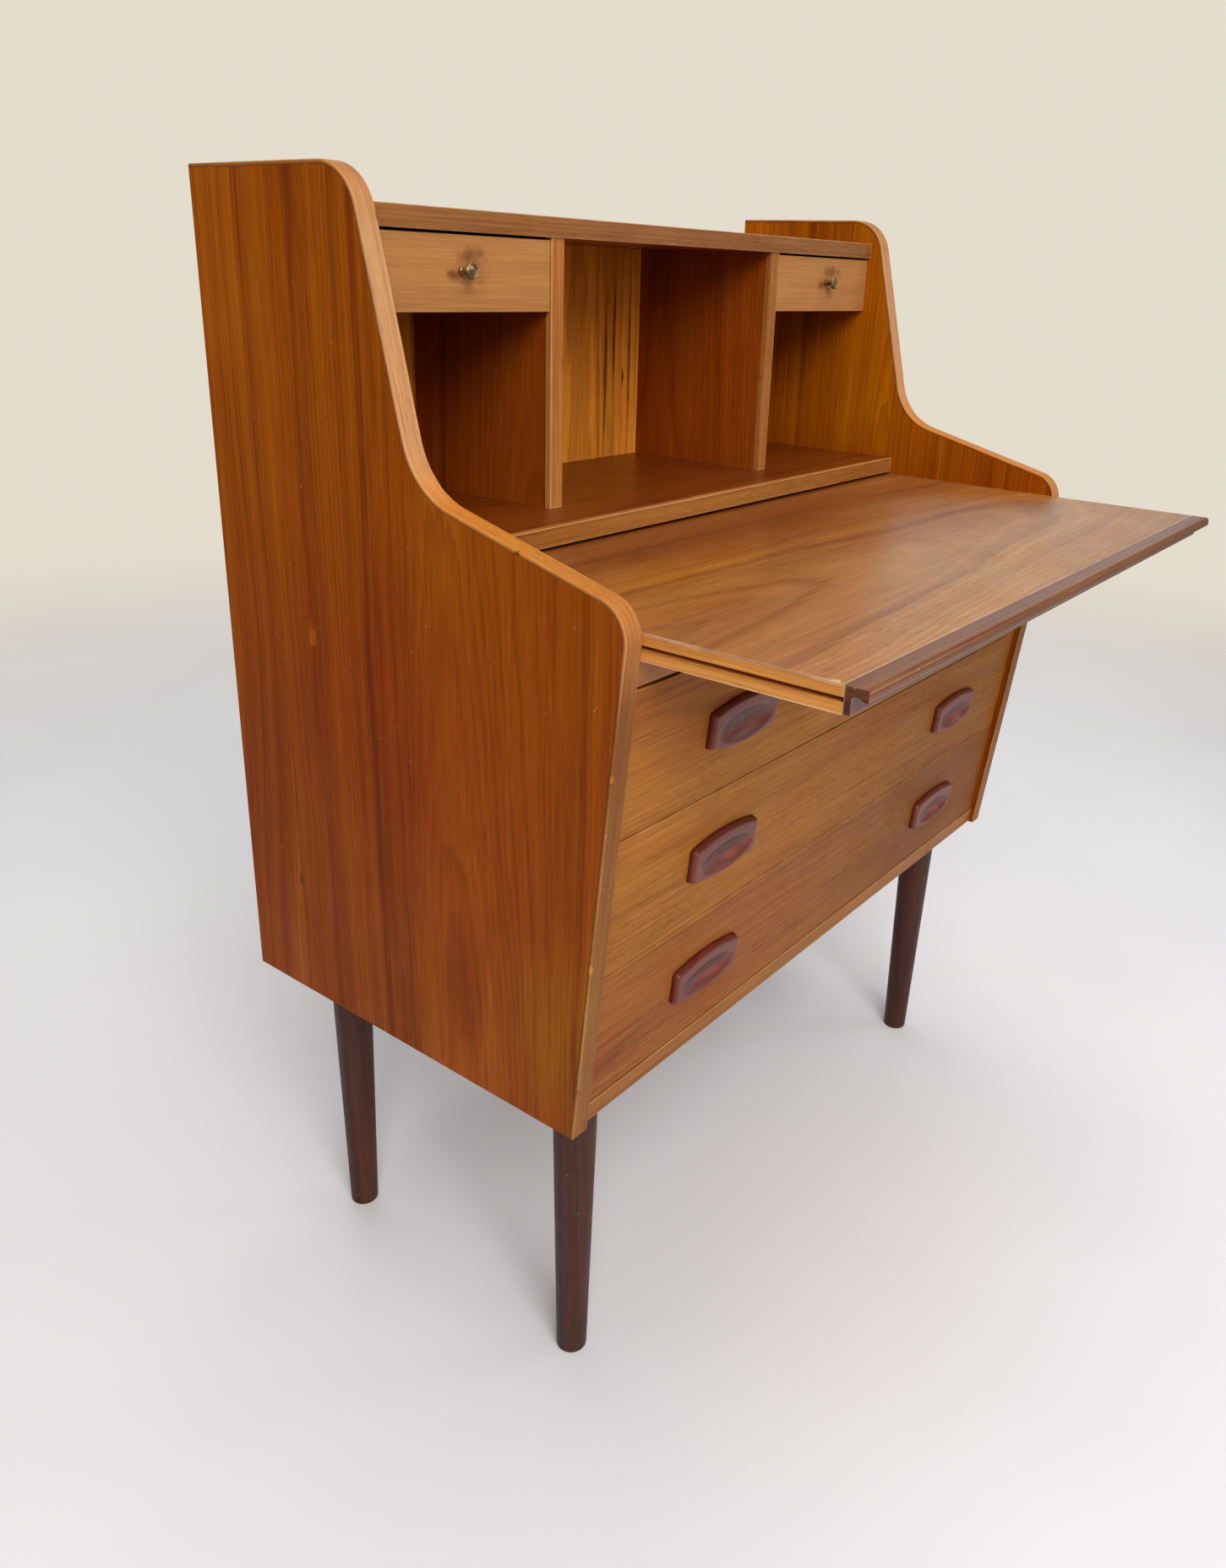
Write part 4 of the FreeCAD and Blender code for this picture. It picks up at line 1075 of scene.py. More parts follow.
@dataclass
class ScoopedHandle:
    """A wooden handle: straight ends, bowed top and bottom, and a boat-shaped scoop."""

    length: float = 94 * MM
    end_height: float = 31 * MM
    bow: float = 5.5 * MM
    proud: float = 7 * MM
    face_inset: float = 1.5 * MM
    rim: float = 1.7 * MM
    scoop_length: float = 80 * MM
    scoop_height: float = 27.5 * MM
    scoop_depth: float = 5.6 * MM
    scoop_lift: float = -3 * MM
    scoop_lip: float = 0.7 * MM
    face_steps: tuple[float, ...] = (0.35, 0.7)
    scoop_steps: tuple[float, ...] = (0.985, 0.95, 0.88, 0.78, 0.66, 0.52, 0.38, 0.24, 0.1)
    rim_steps: int = 6
    straight: int = 22
    bowed: int = 56
    centre_x: float = 232 * MM

    def outline(self, inset: float) -> np.ndarray:
        """The outline moved in by an inset, with its corners eased.

        The ends are straight, and the top and bottom rise by the bow times 1 minus the square of
        how far out the point is. A running mean round the ring eases the corners.

        Args:
            inset: How far in from the foot of the wall.

        Returns:
            The points as (x, z), going round once.
        """
        half, end = self.length / 2 - inset, self.end_height / 2 - inset
        u = np.linspace(-1, 1, self.bowed, endpoint=False)
        v = np.linspace(-1, 1, self.straight, endpoint=False)
        bowed = end + self.bow * (1 - u ** 2)
        ring = np.concatenate([
            np.stack([u * half, -bowed], -1), np.stack([np.full_like(v, half), v * end], -1),
            np.stack([-u * half, bowed], -1), np.stack([np.full_like(v, -half), -v * end], -1)])
        for _ in range(3):
            ring = (np.roll(ring, 1, 0) + 2 * ring + np.roll(ring, -1, 0)) / 4
        return ring

    def scoop_edge(self, ring: np.ndarray) -> np.ndarray:
        """Where the barrel that hollows the handle meets its face, one point for each ring point.

        The barrel's radius is greatest in the middle and follows a wide arc along its length, so
        the cut is as high as the square root of radius squared less the axis distance squared.

        Args:
            ring: The face's inner ring, (n, 2).

        Returns:
            The edge, (n, 2), before it is lifted.
        """
        angle = np.arctan2(ring[:, 1] / ring[:, 1].max(), ring[:, 0] / ring[:, 0].max())
        x = np.cos(angle) * self.scoop_length / 2
        high = np.sqrt(np.maximum(self.barrel(x) ** 2 - self.axis_out() ** 2, 0.0))
        return np.stack([x, np.sign(np.sin(angle)) * high], -1)

    def axis_out(self) -> float:
        """How far in front of the face the barrel's axis lies."""
        return ((self.scoop_height / 2) ** 2 - self.scoop_depth ** 2) / (2 * self.scoop_depth)

    def barrel(self, x: np.ndarray) -> np.ndarray:
        """The barrel's radius along its length."""
        wide = ((self.scoop_length / 2) ** 2 + self.scoop_depth ** 2) / (2 * self.scoop_depth)
        return self.axis_out() + self.scoop_depth - wide + np.sqrt(wide ** 2 - x ** 2)

    def surface(self) -> tuple[np.ndarray, list[Sequence[int]]]:
        """The whole handle lying on a flat front, as (x, out of the front, z).

        Rings go up the wall, over a quarter-round rim, across the face to the scoop's edge and
        down into the scoop to its middle.

        Returns:
            The points and the faces.
        """
        shoulder = self.proud - self.rim
        rings = [np.insert(self.outline(0.0), 1, 0.0, 1),
                 np.insert(self.outline(self.face_inset * 0.8), 1, shoulder, 1)]
        for turn in np.linspace(0, math.pi / 2, self.rim_steps + 1)[1:]:
            inset = self.face_inset + self.rim * (1 - math.cos(turn)) * 0.85
            rings.append(np.insert(self.outline(inset), 1,
                                   shoulder + self.rim * math.sin(turn), 1))
        inner = self.outline(self.face_inset + self.rim)
        edge = self.scoop_edge(inner) + (0.0, self.scoop_lift)
        middle = np.array([0.0, self.scoop_lift])
        outward = edge - middle
        outward /= np.maximum(np.linalg.norm(outward, axis=1, keepdims=True), 1e-9)
        for share in self.face_steps:
            rings.append(np.insert(inner + (edge + outward * self.scoop_lip - inner) * share, 1,
                                   self.proud, 1))
        rings.append(np.insert(edge + outward * self.scoop_lip, 1, self.proud, 1))
        rings.append(np.insert(edge + outward * self.scoop_lip * 0.35, 1, self.proud - 0.1 * MM, 1))
        for share in self.scoop_steps:
            spot = middle + (edge - middle) * share
            out = np.sqrt(np.maximum(self.barrel(spot[:, 0]) ** 2
                                     - (spot[:, 1] - self.scoop_lift) ** 2, 0.0))
            rings.append(np.insert(spot, 1, self.proud + self.axis_out() - out, 1))
        around = len(inner)
        points = np.concatenate(rings + [[[0, 0, 0]],
                                         [[0, self.proud - self.scoop_depth, self.scoop_lift]]])
        faces = tube_faces(len(rings), around).tolist()
        back, front = len(points) - 2, len(points) - 1
        col = np.arange(around)
        after = (col + 1) % around
        top = (len(rings) - 1) * around
        faces += np.stack([np.full(around, back), after, col], -1).tolist()
        faces += np.stack([np.full(around, front), top + col, top + after], -1).tolist()
        return points, faces

    def build(self, level: str, seed: int) -> None:
        """Build both handles of a wide drawer.

        The front leans, so a point goes forwards by the lean and its distance out of the front
        is laid along the front's normal.

        Args:
            level: "bottom", "middle" or "top".
            seed: Picks their timber.
        """
        low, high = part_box(f"{level}_drawer_front")
        middle = (low.z + high.z) / 2
        front = low.y + FRONT_LEAN * (high.z - middle)
        tilt = math.atan(FRONT_LEAN)
        flat, faces = self.surface()
        for side, sign in (("left", -1), ("right", 1)):
            name = f"{level}_handle_{side}"
            points = np.stack([
                sign * self.centre_x + flat[:, 0],
                front - flat[:, 1] * math.cos(tilt) - flat[:, 2] * math.sin(tilt),
                middle + flat[:, 2] * math.cos(tilt) - flat[:, 1] * math.sin(tilt)], -1)
            made = mesh_piece(name, points, faces, f"{level}_drawer",
                              [f"{level}_drawer_handles"] if sign < 0 else [])
            made.data.materials[0] = self.finish(name, points, seed + sign)

    def finish(self, name: str, points: np.ndarray, seed: int) -> bpy.types.Material:
        """The polished wood of a handle, with painted shade and dirt in its scoop and a painted
        highlight low in it.

        Args:
            name: The handle's name.
            points: Its points.
            seed: Picks its timber.

        Returns:
            The material.
        """
        low, high = Vector(points.min(0)), Vector(points.max(0))
        x, y, z = (low + high) / 2
        across, tall = self.scoop_length / 2, self.scoop_height / 2
        z += self.scoop_lift
        # Painted shade with some dirt over the top of the scoop and at its left end; a painted
        # highlight low on the right of the scoop; and a darker band along the handle's lower edge.
        dark, painted_highlight = (0.50, 0.41, 0.41), (1.7, 2.0, 2.3)
        marks = [
            Mark((x, y, z + 0.35 * tall), (0.96 * across, 1.0, 0.66 * tall), dark, 0.35, 0.05,
                 200.0),
            Mark((x - 0.62 * across, y, z), (0.32 * across, 1.0, 0.5 * tall), dark, 0.6, 0.1,
                 200.0),
            Mark((x + 0.30 * across, y, z - 0.50 * tall), (0.45 * across, 1.0, 0.36 * tall),
                 painted_highlight, 0.95, 0.12, 120.0),
            Mark((x, y, z - 1.22 * tall), (0.8 * across, 1.0, 0.16 * tall), dark, 0.6, 0.4, 200.0)]
        return HANDLE_WOOD.dress(name, Grain.ALONG_X_UPRIGHT, low, high, seed, marks=marks)


@dataclass
class TurnedKnob:
    """A small brass knob: collar, necked stem with a bead, and a flat disc head."""

    head: float = 6.3 * MM
    head_thickness: float = 2.2 * MM
    stem: float = 2.3 * MM
    collar: float = 3.6 * MM
    collar_thickness: float = 1.6 * MM
    reach: float = 12.5 * MM
    stud: float = 2.0 * MM
    stud_length: float = 9.0 * MM
    around: int = 56

    def profile(self) -> np.ndarray:
        """The outline from the stud's end to the face of the head, its rounds as arcs.

        Returns:
            The points as (radius, out of the front), (n, 2).
        """
        back = self.reach - self.head_thickness
        bead = (self.collar_thickness + back) / 2
        rim = self.head_thickness / 2
        turn = np.linspace(-math.pi / 2, math.pi / 2, 11)
        half = np.linspace(0, math.pi / 2, 6)
        parts = [
            [(0.3 * MM, -self.stud_length), (self.stud, -self.stud_length), (self.stud, -0.02 * MM),
             (self.collar, 0.0)],
            np.stack([self.collar - 0.5 * MM + 0.5 * MM * np.cos(half),
                      self.collar_thickness - 0.5 * MM + 0.5 * MM * np.sin(half)], -1),
            [(self.stem + 0.4 * MM, self.collar_thickness + 0.1 * MM),
             (self.stem, self.collar_thickness + 0.6 * MM), (self.stem, bead - 0.9 * MM)],
            np.stack([self.stem + 0.75 * MM * np.cos(turn), bead + 0.8 * MM * np.sin(turn)], -1),
            [(self.stem, bead + 0.9 * MM), (self.stem, back - 0.8 * MM),
             (self.stem + 0.5 * MM, back - 0.2 * MM), (self.collar, back)],
            np.stack([self.head - rim * 0.6 + rim * 0.6 * np.cos(turn),
                      back + rim + rim * np.sin(turn)], -1),
            [(self.head - 1.3 * MM, self.reach - 0.05 * MM),
             (self.head - 1.5 * MM, self.reach - 0.35 * MM),
             (self.head - 2.0 * MM, self.reach - 0.38 * MM), (2.0 * MM, self.reach - 0.22 * MM),
             (0.4 * MM, self.reach - 0.18 * MM)]]
        return np.concatenate([np.asarray(part, float) for part in parts])

    def build(self, side: str, seed: int) -> None:
        """Build the knob of one gallery drawer, its axis pointing out of the front.

        Args:
            side: "left" or "right".
            seed: Picks its tarnish.
        """
        node = f"gallery_drawer_{side}_knob"
        low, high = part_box(node)
        turned, faces = turned_piece(self.profile(), self.around)
        points = np.stack([(low.x + high.x) / 2 + turned[:, 0], low.y + self.reach - turned[:, 2],
                           (low.z + high.z) / 2 + turned[:, 1]], -1)
        made = mesh_piece(f"gallery_knob_{side}", points, faces, f"gallery_drawer_{side}",
                          [node])
        sharpen(made, 40)
        made.data.materials[0] = BRASS.dress(node, seed)


@dataclass
class TurnedLeg:
    """A tapered leg with a rounded foot."""

    top: float = 20.5 * MM
    foot: float = 14.2 * MM
    foot_round: float = 2.5 * MM
    around: int = 72

    def build(self, corner: str, seed: int) -> None:
        """Build one leg: a straight taper, and a quarter round at the foot.

        Args:
            corner: Such as "front_left".
            seed: Picks its timber.
        """
        node = f"leg_{corner}"
        low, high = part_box(node)
        length = high.z - low.z
        turn = np.linspace(-math.pi / 2, 0, 9)
        rise = np.linspace(self.foot_round, length, 40)
        taper = self.foot + (self.top - self.foot) * rise / length
        soft = taper * (1 + 0.0015 * wavering(rise, seed, shortest=0.03))
        soft[-1] = self.top
        profile = np.concatenate([
            [(2 * MM, 0.0)],
            np.stack([self.foot - self.foot_round + self.foot_round * np.cos(turn),
                      self.foot_round + self.foot_round * np.sin(turn)], -1),
            np.stack([np.minimum(soft, self.top), rise], -1)[1:], [(self.top - 0.4 * MM, length)]])
        points, faces = turned_piece(profile, self.around)
        points = points + ((low.x + high.x) / 2, (low.y + high.y) / 2, low.z)
        made = mesh_piece(f"turned_{node}", points, faces, "carcass", [node])
        sharpen(made, 40)
        made.data.materials[0] = LEG_WOOD.dress(node, Grain.UP_ON_SIDE, low, high, seed)


@dataclass
class SlottedScrews:
    """The countersunk screws that hold the back panels, each with a slot across its head."""

    head: float = 3.2 * MM
    shank: float = 1.6 * MM
    head_height: float = 2.4 * MM
    length: float = 18 * MM
    slot_half: float = 0.42 * MM
    slot_depth: float = 0.9 * MM
    spans: tuple[float, ...] = (-0.75, -0.25, 0.25, 0.75)
    lower_shares: tuple[float, ...] = (0.2, 0.5, 0.8)
    upper_shares: tuple[float, ...] = (0.25, 0.75)
    rebate_middle: float = 4 * MM

    def places(self) -> np.ndarray:
        """Where the screws are, from the boards they go through.

        Returns:
            The places as (x, z), (n, 2).
        """
        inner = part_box("bottom_lipping")[1].x
        bottom_low, bottom_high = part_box("bottom_panel")
        floor_low, floor_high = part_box("gallery_floor")
        roof_low, roof_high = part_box("gallery_top")
        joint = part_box("lower_back")[1].z
        edge = (floor_high.z - floor_low.z) / 4
        foot, top = bottom_low.z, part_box("gallery_back")[1].z
        rows = [(bottom_low.z + bottom_high.z) / 2, joint - edge, joint + edge,
                (roof_low.z + roof_high.z) / 2]
        grid = [(share * inner, z) for z in rows for share in self.spans]
        heights = [foot + (joint - foot) * share for share in self.lower_shares]
        heights += [joint + (top - joint) * share for share in self.upper_shares]
        grid += [(sign * (inner + self.rebate_middle), z) for z in heights for sign in (-1, 1)]
        return np.array(grid)

    def one(self) -> tuple[np.ndarray, list[Sequence[int]]]:
        """One screw pointing down -Z, its head at z = 0.

        The head is a square grid drawn onto a disc: x times the root of 1 less half of y squared,
        and the same for y. Two pairs of rows lie on one line, and the strip between them is sunk
        to make the slot. Rings of the grid's own border go down the cone and shank to the tip.

        Returns:
            The points and the faces.
        """
        share = self.slot_half / self.head * 1.01
        rows = np.array([-1, -0.6, -share, -share, share, share, 0.6, 1.0])
        sunk = np.array([0, 0, 0, 1, 1, 0, 0, 0]) * -self.slot_depth
        columns = np.linspace(-1, 1, 8)
        v, u = np.meshgrid(rows, columns, indexing="ij")
        x = self.head * u * np.sqrt(1 - v ** 2 / 2)
        y = self.head * v * np.sqrt(1 - u ** 2 / 2)
        z = np.broadcast_to(sunk[:, None], x.shape)
        size = len(rows)
        index = np.arange(size * size).reshape(size, size)
        faces = np.stack([index[:-1, :-1], index[:-1, 1:], index[1:, 1:], index[1:, :-1]],
                         -1).reshape(-1, 4).tolist()
        border = np.concatenate([index[0, :-1], index[:-1, -1], index[-1, :0:-1],
                                 index[:0:-1, 0]])
        head = np.stack([x, y, z], -1).reshape(-1, 3)
        rim = head[border]
        around = len(border)
        flat = rim[:, :2] / np.linalg.norm(rim[:, :2], axis=1, keepdims=True)
        depths = [(self.head * 0.96, self.slot_depth + 0.15 * MM), (self.shank, self.head_height),
                  (self.shank, self.length - 2 * self.shank), (0.3 * MM, self.length)]
        rings = [np.column_stack([flat * radius, np.full(around, -down)])
                 for radius, down in depths]
        first = len(head)
        points = np.concatenate([head] + rings + [[[0, 0, -self.length - 0.1 * MM]]])
        rows_of = [border] + [first + k * around + np.arange(around) for k in range(len(rings))]
        for upper, lower in zip(rows_of, rows_of[1:]):
            faces += np.stack([upper, lower, np.roll(lower, -1), np.roll(upper, -1)],
                              -1).tolist()
        tip = np.full(around, len(points) - 1)
        faces += np.stack([rows_of[-1], tip, np.roll(rows_of[-1], -1)], -1).tolist()
        return points, faces

    def build(self, seed: int) -> None:
        """Build all the screws as one piece, each turned by chance about its own axis.

        Args:
            seed: Picks the turns.
        """
        places = self.places()
        template, template_faces = self.one()
        turn = np.random.default_rng(seed).uniform(0, math.pi, len(places))
        cos, sin = np.cos(turn)[:, None], np.sin(turn)[:, None]
        x = template[:, 0] * cos - template[:, 1] * sin
        z = template[:, 0] * sin + template[:, 1] * cos
        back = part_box("back_screws")[1].y
        points = np.stack([places[:, :1] - x, np.broadcast_to(back + template[:, 2], x.shape),
                           places[:, 1:] + z], -1).reshape(-1, 3)
        step = len(template)
        faces = [[number + copy * step for number in face]
                 for copy in range(len(places)) for face in template_faces]
        made = mesh_piece("slotted_back_screws", points, faces, "carcass",
                          ["back_screws"])
        sharpen(made, 30)
        made.data.materials[0] = STEEL.dress("back_screws", seed)


@dataclass(frozen=True)
class Board:
    """A CAD board that keeps its shape and gets a finish."""

    node: str
    finish: WoodFinish
    grain: Grain
    lean: float = 0.0
    heart: float | None = None
    marks: tuple[Mark, ...] = ()


@dataclass
class Boards:
    """Every flat board of the desk, and the plain metal nodes, dressed where they stand."""

    first_seed: int = 11
    leaning: float = FRONT_LEAN
    levels: tuple[str, ...] = ("bottom", "middle", "top")
    metal: tuple[str, ...] = ("leaf_runners", "runner_screws", "leg_bolts", "leg_nuts")
    dressed: list[str] = field(default_factory=list)

    def carcass(self) -> list[Board]:
        """The boards that never move.

        Returns:
            The boards, back to front and bottom to top.
        """
        lying, up = Grain.ALONG_X_LYING, Grain.UP_ON_FRONT
        return [
            # Painted light and shade on the left side: its top paler and bluer where more light
            # falls, darker patches lower down where less falls, and a pale bluish patch low at the
            # front as a painted reflection of the floor.
            Board("side_left", SIDE_VENEER, Grain.UP_ON_SIDE, heart=-0.045, marks=(
                Mark((-0.40, 0.20, 1.08), (1.0, 0.60, 0.42), (1.25, 1.42, 2.2), 0.9, 0.1, 5.0),
                Mark((-0.40, 0.30, 0.47), (1.0, 0.16, 0.30), (0.72, 0.55, 0.40), 0.95, 0.2, 7.0),
                Mark((-0.40, 0.08, 0.60), (1.0, 0.22, 0.22), (0.90, 0.70, 0.30), 0.95, 0.2, 7.0),
                Mark((-0.40, -0.09, 0.40), (1.0, 0.09, 0.12), (1.08, 1.5, 2.6), 0.95, 0.3, 9.0),
                Mark((-0.40, 0.02, 0.40), (1.0, 0.03, 0.09), (0.74, 0.60, 0.50), 0.9, 0.4, 16.0),
                Mark((-0.405, 0.1925, 0.670), (0.1, 0.006, 0.013), (1.7, 2.2, 4.0), 0.8, 0.9,
                     150.0),
                Mark((-0.405, 0.2338, 0.4266), (0.1, 0.003, 0.010), (0.45, 0.35, 0.3), 0.8, 0.4,
                     150.0))),
            # Painted light: the right side's top paler where more light falls.
            Board("side_right", SIDE_VENEER, Grain.UP_ON_SIDE, heart=0.05, marks=(
                Mark((0.39, 0.20, 0.95), (1.0, 0.60, 0.24), (1.3, 1.6, 1.6), 0.4, 0.1, 5.0),)),
            Board("bottom_panel", SHELF_VENEER, lying),
            Board("bottom_lipping", SHELF_LIPPING_WOOD, Grain.ALONG_X_UPRIGHT, self.leaning),
            Board("front_rail", RAIL_VENEER, Grain.ALONG_X_UPRIGHT, self.leaning),
            Board("gallery_floor", SHELF_VENEER, lying),
            Board("gallery_floor_lipping", SHELF_LIPPING_WOOD, Grain.ALONG_X_UPRIGHT),
            Board("gallery_top", TOP_VENEER, lying),
            Board("gallery_top_lipping", TOP_LIPPING_WOOD, Grain.ALONG_X_UPRIGHT),
            Board("divider_left", DIVIDER_VENEER, Grain.UP_ON_SIDE),
            Board("divider_right", DIVIDER_VENEER, Grain.UP_ON_SIDE),
            Board("divider_lippings", DIVIDER_LIPPING_WOOD, up, marks=(
                Mark((0.18, 0.13, 0.87), (0.05, 1.0, 1.0), (0.80, 0.80, 0.72), 0.3, 0.0),)),
            Board("lower_back", PLYWOOD, up),
            Board("gallery_back", BACK_VENEER, up, heart=0.075, marks=(
                Mark((0.106, 0.3035, 0.86), (0.0035, 0.5, 0.105), (0.34, 0.24, 0.14), 0.8, 0.5,
                     22.0),
                Mark((0.121, 0.3035, 0.90), (0.0030, 0.5, 0.070), (0.30, 0.22, 0.12), 0.8, 0.6,
                     26.0),
                Mark((0.149, 0.3035, 0.87), (0.0040, 0.5, 0.110), (0.42, 0.30, 0.18), 0.9, 0.5,
                     20.0),
                Mark((0.138, 0.3035, 0.845), (0.0026, 0.5, 0.014), (0.2, 0.13, 0.1), 0.7, 0.4,
                     60.0),
                Mark((0.30, 0.30, 0.87), (0.125, 0.5, 3.0), (0.4, 0.3, 0.2), 0.95, 0.3, 9.0),
                Mark((-0.30, 0.30, 0.87), (0.125, 0.5, 3.0), (0.4, 0.3, 0.2), 0.95, 0.3, 9.0))),
            Board("drawer_runners", PALE_BEECH, Grain.ALONG_Y_UPRIGHT),
            Board("gallery_drawer_runners", PALE_BEECH, Grain.ALONG_Y_UPRIGHT)]

    def leaf(self) -> list[Board]:
        """The boards of the writing leaf.

        Returns:
            The boards.
        """
        return [
            Board("leaf_panel", LEAF_VENEER, Grain.ALONG_X_LYING, heart=-0.06, marks=(
                Mark((0.0, 0.05, 0.73), (0.70, 0.20, 1.0), (0.52, 0.32, 0.10), 0.9, 0.2, 7.0),
                Mark((-0.21, -0.05, 0.73), (0.18, 0.05, 1.0), (1.22, 1.25, 0.62), 0.9, 0.3, 9.0),
                # Painted sheen: the front right of the leaf paler and bluer, standing in for the
                # room reflected in its finish, which is also worn paler there.
                Mark((0.10, -0.20, 0.73), (0.46, 0.17, 1.0), (1.02, 1.16, 1.40), 0.8, 0.3, 9.0),
                Mark((-0.387, -0.284, 0.736), (0.006, 0.004, 0.01), (2.0, 2.8, 4.0), 0.5, 0.5,
                     300.0))),
            Board("leaf_rail_left", BEECH, Grain.ALONG_Y_UPRIGHT),
            Board("leaf_rail_right", BEECH, Grain.ALONG_Y_UPRIGHT),
            Board("leaf_back_rail", BEECH, Grain.ALONG_X_UPRIGHT)]

    def drawer(self, name: str, front: WoodFinish, lean: float, sides: Sequence[str],
               marks: tuple[Mark, ...] = ()) -> list[Board]:
        """The boards of one drawer box.

        Args:
            name: The drawer's name.
            front: The finish of its front.
            lean: How far its front leans forwards per metre of height.
            sides: What the nodes of its sides are called.
            marks: Patches on its front.

        Returns:
            The boards.
        """
        made = [Board(f"{name}_front", front, Grain.ALONG_X_UPRIGHT, lean, None, marks)]
        made += [Board(f"{name}_{side}", PALE_BEECH, Grain.ALONG_Y_UPRIGHT) for side in sides]
        return made + [Board(f"{name}_back", PALE_BEECH, Grain.ALONG_X_UPRIGHT),
                       Board(f"{name}_bottom", PLYWOOD, Grain.ALONG_X_LYING)]

    def thumbed(self, knob: Vector) -> tuple[Mark, ...]:
        """The dirt that fingers leave round a knob.

        Args:
            knob: The middle of the knob.

        Returns:
            The patches.
        """
        x, y, z = knob
        tint = (0.50, 0.44, 0.40)
        return (Mark((x - 0.008, y, z - 0.003), (0.011, 0.05, 0.006), tint, 0.8, 0.5, 120.0),
                Mark((x + 0.012, y, z + 0.012), (0.026, 0.05, 0.009), tint, 0.95, 0.9, 70.0),
                Mark((x + 0.010, y, z - 0.002), (0.030, 0.05, 0.020), (0.80, 0.77, 0.74), 0.95,
                     0.9, 60.0))

    def all(self) -> list[Board]:
        """Every board of the desk, in the order of their seeds.

        Returns:
            The boards.
        """
        boards = self.carcass() + self.leaf()
        for level in self.levels:
            finish = RED_DRAWER_VENEER if level == "bottom" else DRAWER_VENEER
            # Painted shade: each wide drawer front darker towards its right, where less light
            # falls.
            dim = (0.68, 0.66, 0.50) if level == "bottom" else (0.76, 0.70, 0.56)
            shade = Mark((0.30, -0.09, 0.51), (0.44, 1.0, 1.0), dim, 0.95, 0.2, 8.0)
            boards += self.drawer(f"{level}_drawer", finish, self.leaning,
                                  ("side_left", "side_right"), (shade,))
        for side in ("left", "right"):
            name = f"gallery_drawer_{side}"
            knob = sum(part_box(f"{name}_knob"), Vector()) / 2
            boards += self.drawer(name, SMALL_FRONT_VENEER, 0.0, ("sides",), self.thumbed(knob))
        return boards

    def build(self) -> None:
        """Dress each board with its own cut of timber, and each metal node.

        A leaning board's box is moved to where the board would stand if it were set upright.
        """
        for number, board in enumerate(self.all()):
            low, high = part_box(board.node)
            low, high = (low + Vector((0.0, board.lean * high.z, 0.0)),
                         high + Vector((0.0, board.lean * low.z, 0.0)))
            self.put(board.node, board.finish.dress(board.node, board.grain, low, high,
                                                    self.first_seed + number, board.lean,
                                                    board.heart, board.marks))
        for number, node in enumerate(self.metal):
            self.put(node, STEEL.dress(node, number))
        LOG.info("dressed %d nodes", len(self.dressed))

    def put(self, node: str, material: bpy.types.Material) -> None:
        """Give a CAD node its material in every slot.

        Args:
            node: The node's name.
            material: Its material.
        """
        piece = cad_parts[node]
        for slot in range(len(piece.data.materials)):
            piece.data.materials[slot] = material
        self.dressed.append(node)


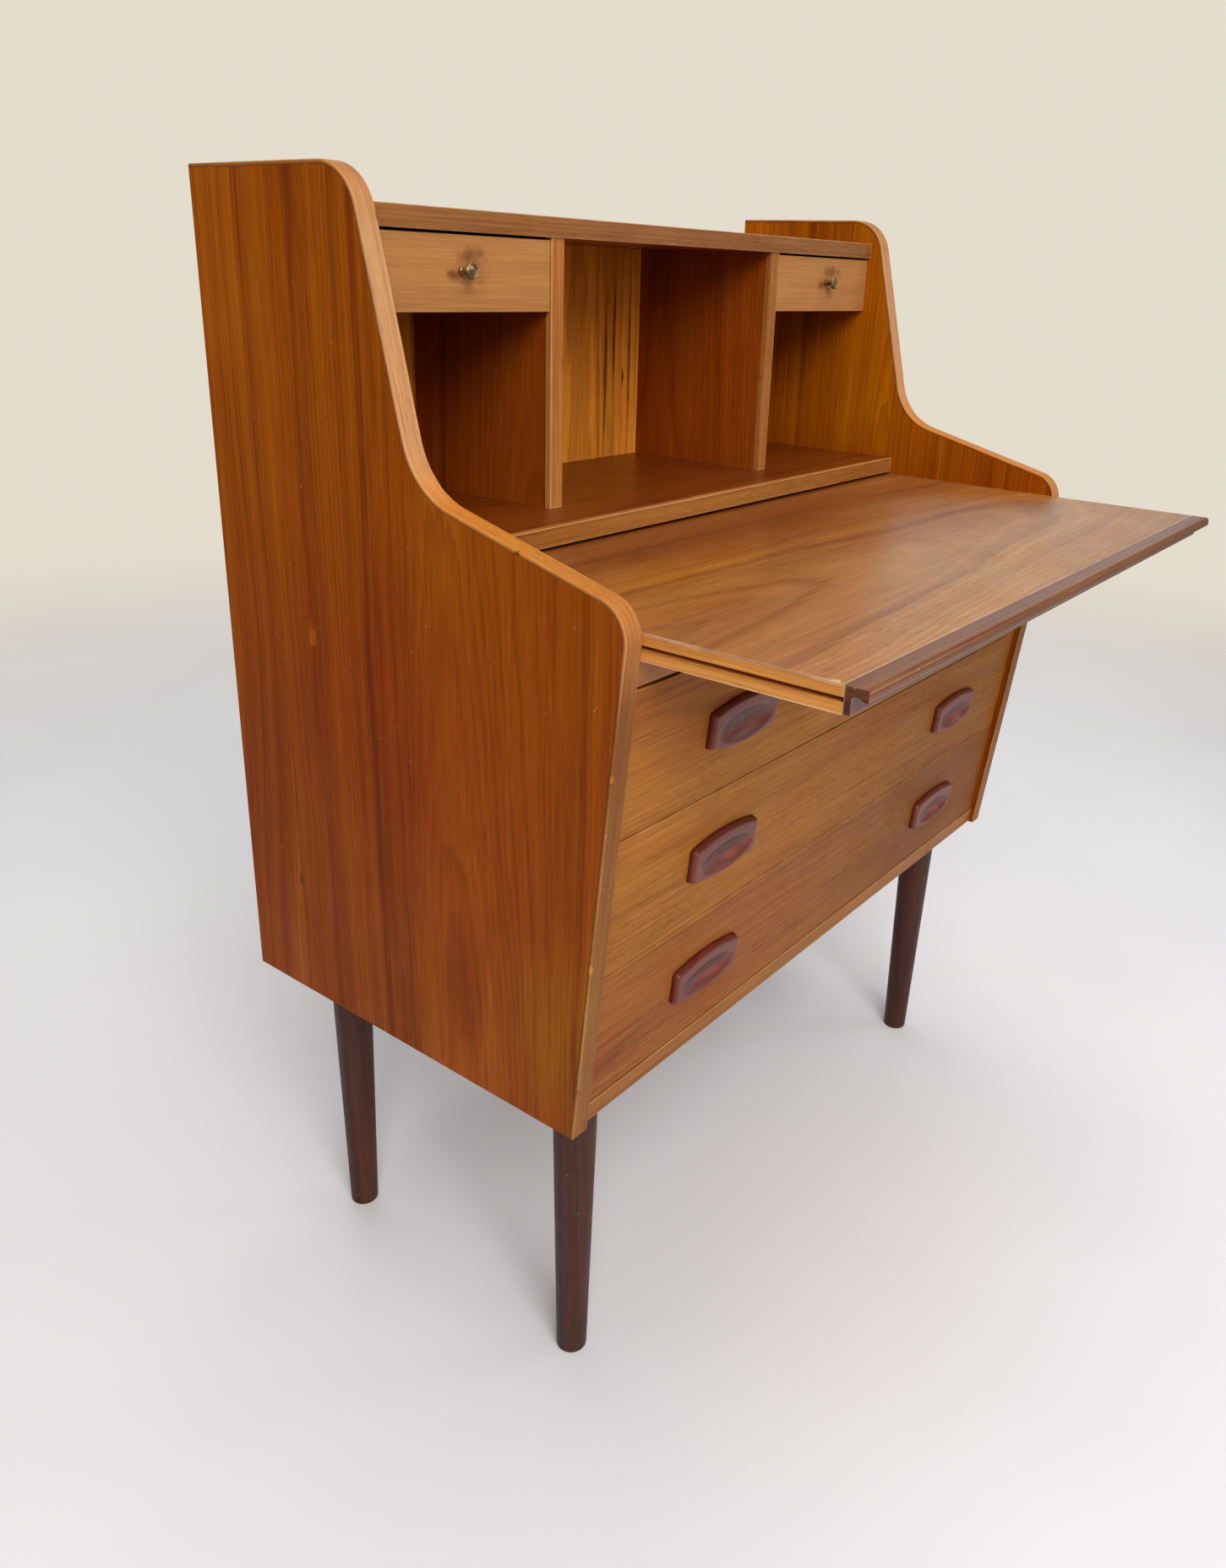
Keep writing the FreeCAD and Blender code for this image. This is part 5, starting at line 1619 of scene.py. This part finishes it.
# ------------------------------------------------------------------------------ the studio
@dataclass
class Studio:
    """Floor, light and camera."""

    floor_half: float = 9.0
    floor_fade: tuple[float, float] = (1.5, 3.6)
    eye: tuple[float, float, float] = (-0.99549, -0.60104, 0.96089)
    azimuth: float = 0.92711682
    elevation: float = -0.36620161
    roll: float = 0.03724698
    lens: float = 27.305
    shift: tuple[float, float] = (-0.02122, -0.03520)
    room: Colour = (0.215, 0.206, 0.192)
    wall: Colour = srgb(228, 220, 204)

    def build(self) -> None:
        """Lay the floor, hang the lights and set up the camera."""
        self.floor()
        self.light("key", (-2.0, -2.3, 2.9), (0.0, 0.0, 0.55), 2.0, 112.0, (1.0, 0.97, 0.93))
        self.light("ceiling", (0.2, -0.5, 3.6), (0.0, 0.0, 0.0), 2.6, 58.0, (1.0, 0.98, 0.96))
        self.light("front", (-1.2, -3.2, 1.5), (0.0, 0.2, 0.85), 1.6, 18.0, (1.0, 0.97, 0.93))
        self.light("window", (2.6, -2.3, 1.35), (0.0, 0.0, 0.6), 0.8, 9.0, (0.96, 0.97, 1.0))
        self.light("wall", (2.6, 1.3, 1.35), (0.0, 0.0, 0.8), 2.4, 7.0, (1.0, 0.98, 0.95))
        self.light("back", (1.2, 3.6, 2.6), (0.0, 0.0, 0.8), 3.0, 30.0, (0.98, 0.98, 1.0))
        world = bpy.data.worlds.new("studio")
        bpy.context.scene.world = world
        world.use_nodes = True
        w = Wiring(world.node_tree)
        sky = world.node_tree.nodes["Background"]
        seen = w.node("ShaderNodeLightPath").outputs["Is Camera Ray"]
        w.put(sky.inputs["Color"], w.blend(seen, self.room, self.wall))
        bpy.context.scene.view_settings.view_transform = "Standard"
        self.camera()

    def floor(self) -> None:
        """A plain pale floor, faintly mottled, that fades out far from the desk."""
        size = self.floor_half
        mesh = bpy.data.meshes.new("floor")
        mesh.from_pydata([(-size, -size, 0), (size, -size, 0), (size, size, 0), (-size, size, 0)],
                         [], [(0, 1, 2, 3)])
        made = bpy.data.objects.new("floor", mesh)
        bpy.context.scene.collection.objects.link(made)
        material = bpy.data.materials.new("pale_floor")
        material.use_nodes = True
        w = Wiring(material.node_tree)
        shader = material.node_tree.nodes["Principled BSDF"]
        seen = w.node("ShaderNodeTexCoord").outputs["Object"]
        cloud = w.noise(seen, (2.5, 2.5, 2.5), 4.0)
        w.put(shader.inputs["Base Color"],
              w.blend(cloud, srgb(226, 226, 231), srgb(236, 236, 241)))
        w.put(shader.inputs["Roughness"], w.step(cloud, 0.3, 0.7, 0.42, 0.55))
        far = w.node("ShaderNodeVectorMath", {0: seen}, operation="LENGTH").outputs["Value"]
        w.put(shader.inputs["Alpha"], w.step(far, self.floor_fade[1], self.floor_fade[0]))
        mesh.materials.append(material)

    def light(self, name: str, place: Sequence[float], target: Sequence[float], size: float,
              power: float, colour: Colour) -> None:
        """Hang a square soft light.

        Args:
            name: The light's name.
            place: Where it hangs.
            target: What it points at.
            size: Its side.
            power: Its power in watts.
            colour: Its colour.
        """
        data = bpy.data.lights.new(name, "AREA")
        data.shape, data.size, data.energy, data.color = "SQUARE", size, power, colour
        made = bpy.data.objects.new(name, data)
        bpy.context.scene.collection.objects.link(made)
        made.location = place
        way = Vector(target) - Vector(place)
        made.rotation_euler = way.to_track_quat("-Z", "Y").to_euler()
        made.visible_camera = False

    def camera(self) -> None:
        """Stand the camera to the front left, looking down on the leaf."""
        az, el, roll = self.azimuth, self.elevation, self.roll
        right = Vector((math.cos(az), -math.sin(az), 0.0))
        ahead = Vector((math.sin(az) * math.cos(el), math.cos(az) * math.cos(el), math.sin(el)))
        up = right.cross(ahead)
        across = right * math.cos(roll) + up * math.sin(roll)
        over = up * math.cos(roll) - right * math.sin(roll)
        data = bpy.data.cameras.new("camera")
        data.lens, data.sensor_width = self.lens, 36.0
        data.shift_x, data.shift_y = self.shift
        data.clip_start = 0.01
        made = bpy.data.objects.new("camera", data)
        turn = Matrix((across, over, -ahead)).transposed().to_4x4()
        made.matrix_world = Matrix.Translation(Vector(self.eye)) @ turn
        bpy.context.scene.collection.objects.link(made)
        bpy.context.scene.camera = made


def main() -> None:
    """Build the desk's looks piece by piece."""
    logging.basicConfig(level=logging.INFO, format="%(name)s: %(message)s")
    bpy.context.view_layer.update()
    EFFECTS.update(figure=wood_figure_effect(), wear=edge_wear_effect(),
                   handling=handling_effect())
    Boards().build()
    for number, (side, sign) in enumerate((("left", -1), ("right", 1))):
        SideLipping().build(side, sign, 70 + number)
        TurnedKnob().build(side, 80 + number)
    LeafLip().build(90)
    for number, level in enumerate(("bottom", "middle", "top")):
        ScoopedHandle().build(level, 100 + 3 * number)
    for number, corner in enumerate(("front_left", "front_right", "back_left", "back_right")):
        TurnedLeg().build(corner, 120 + number)
    SlottedScrews().build(130)
    Studio().build()
    LOG.info("size written")


if __name__ == "__main__":
    main()
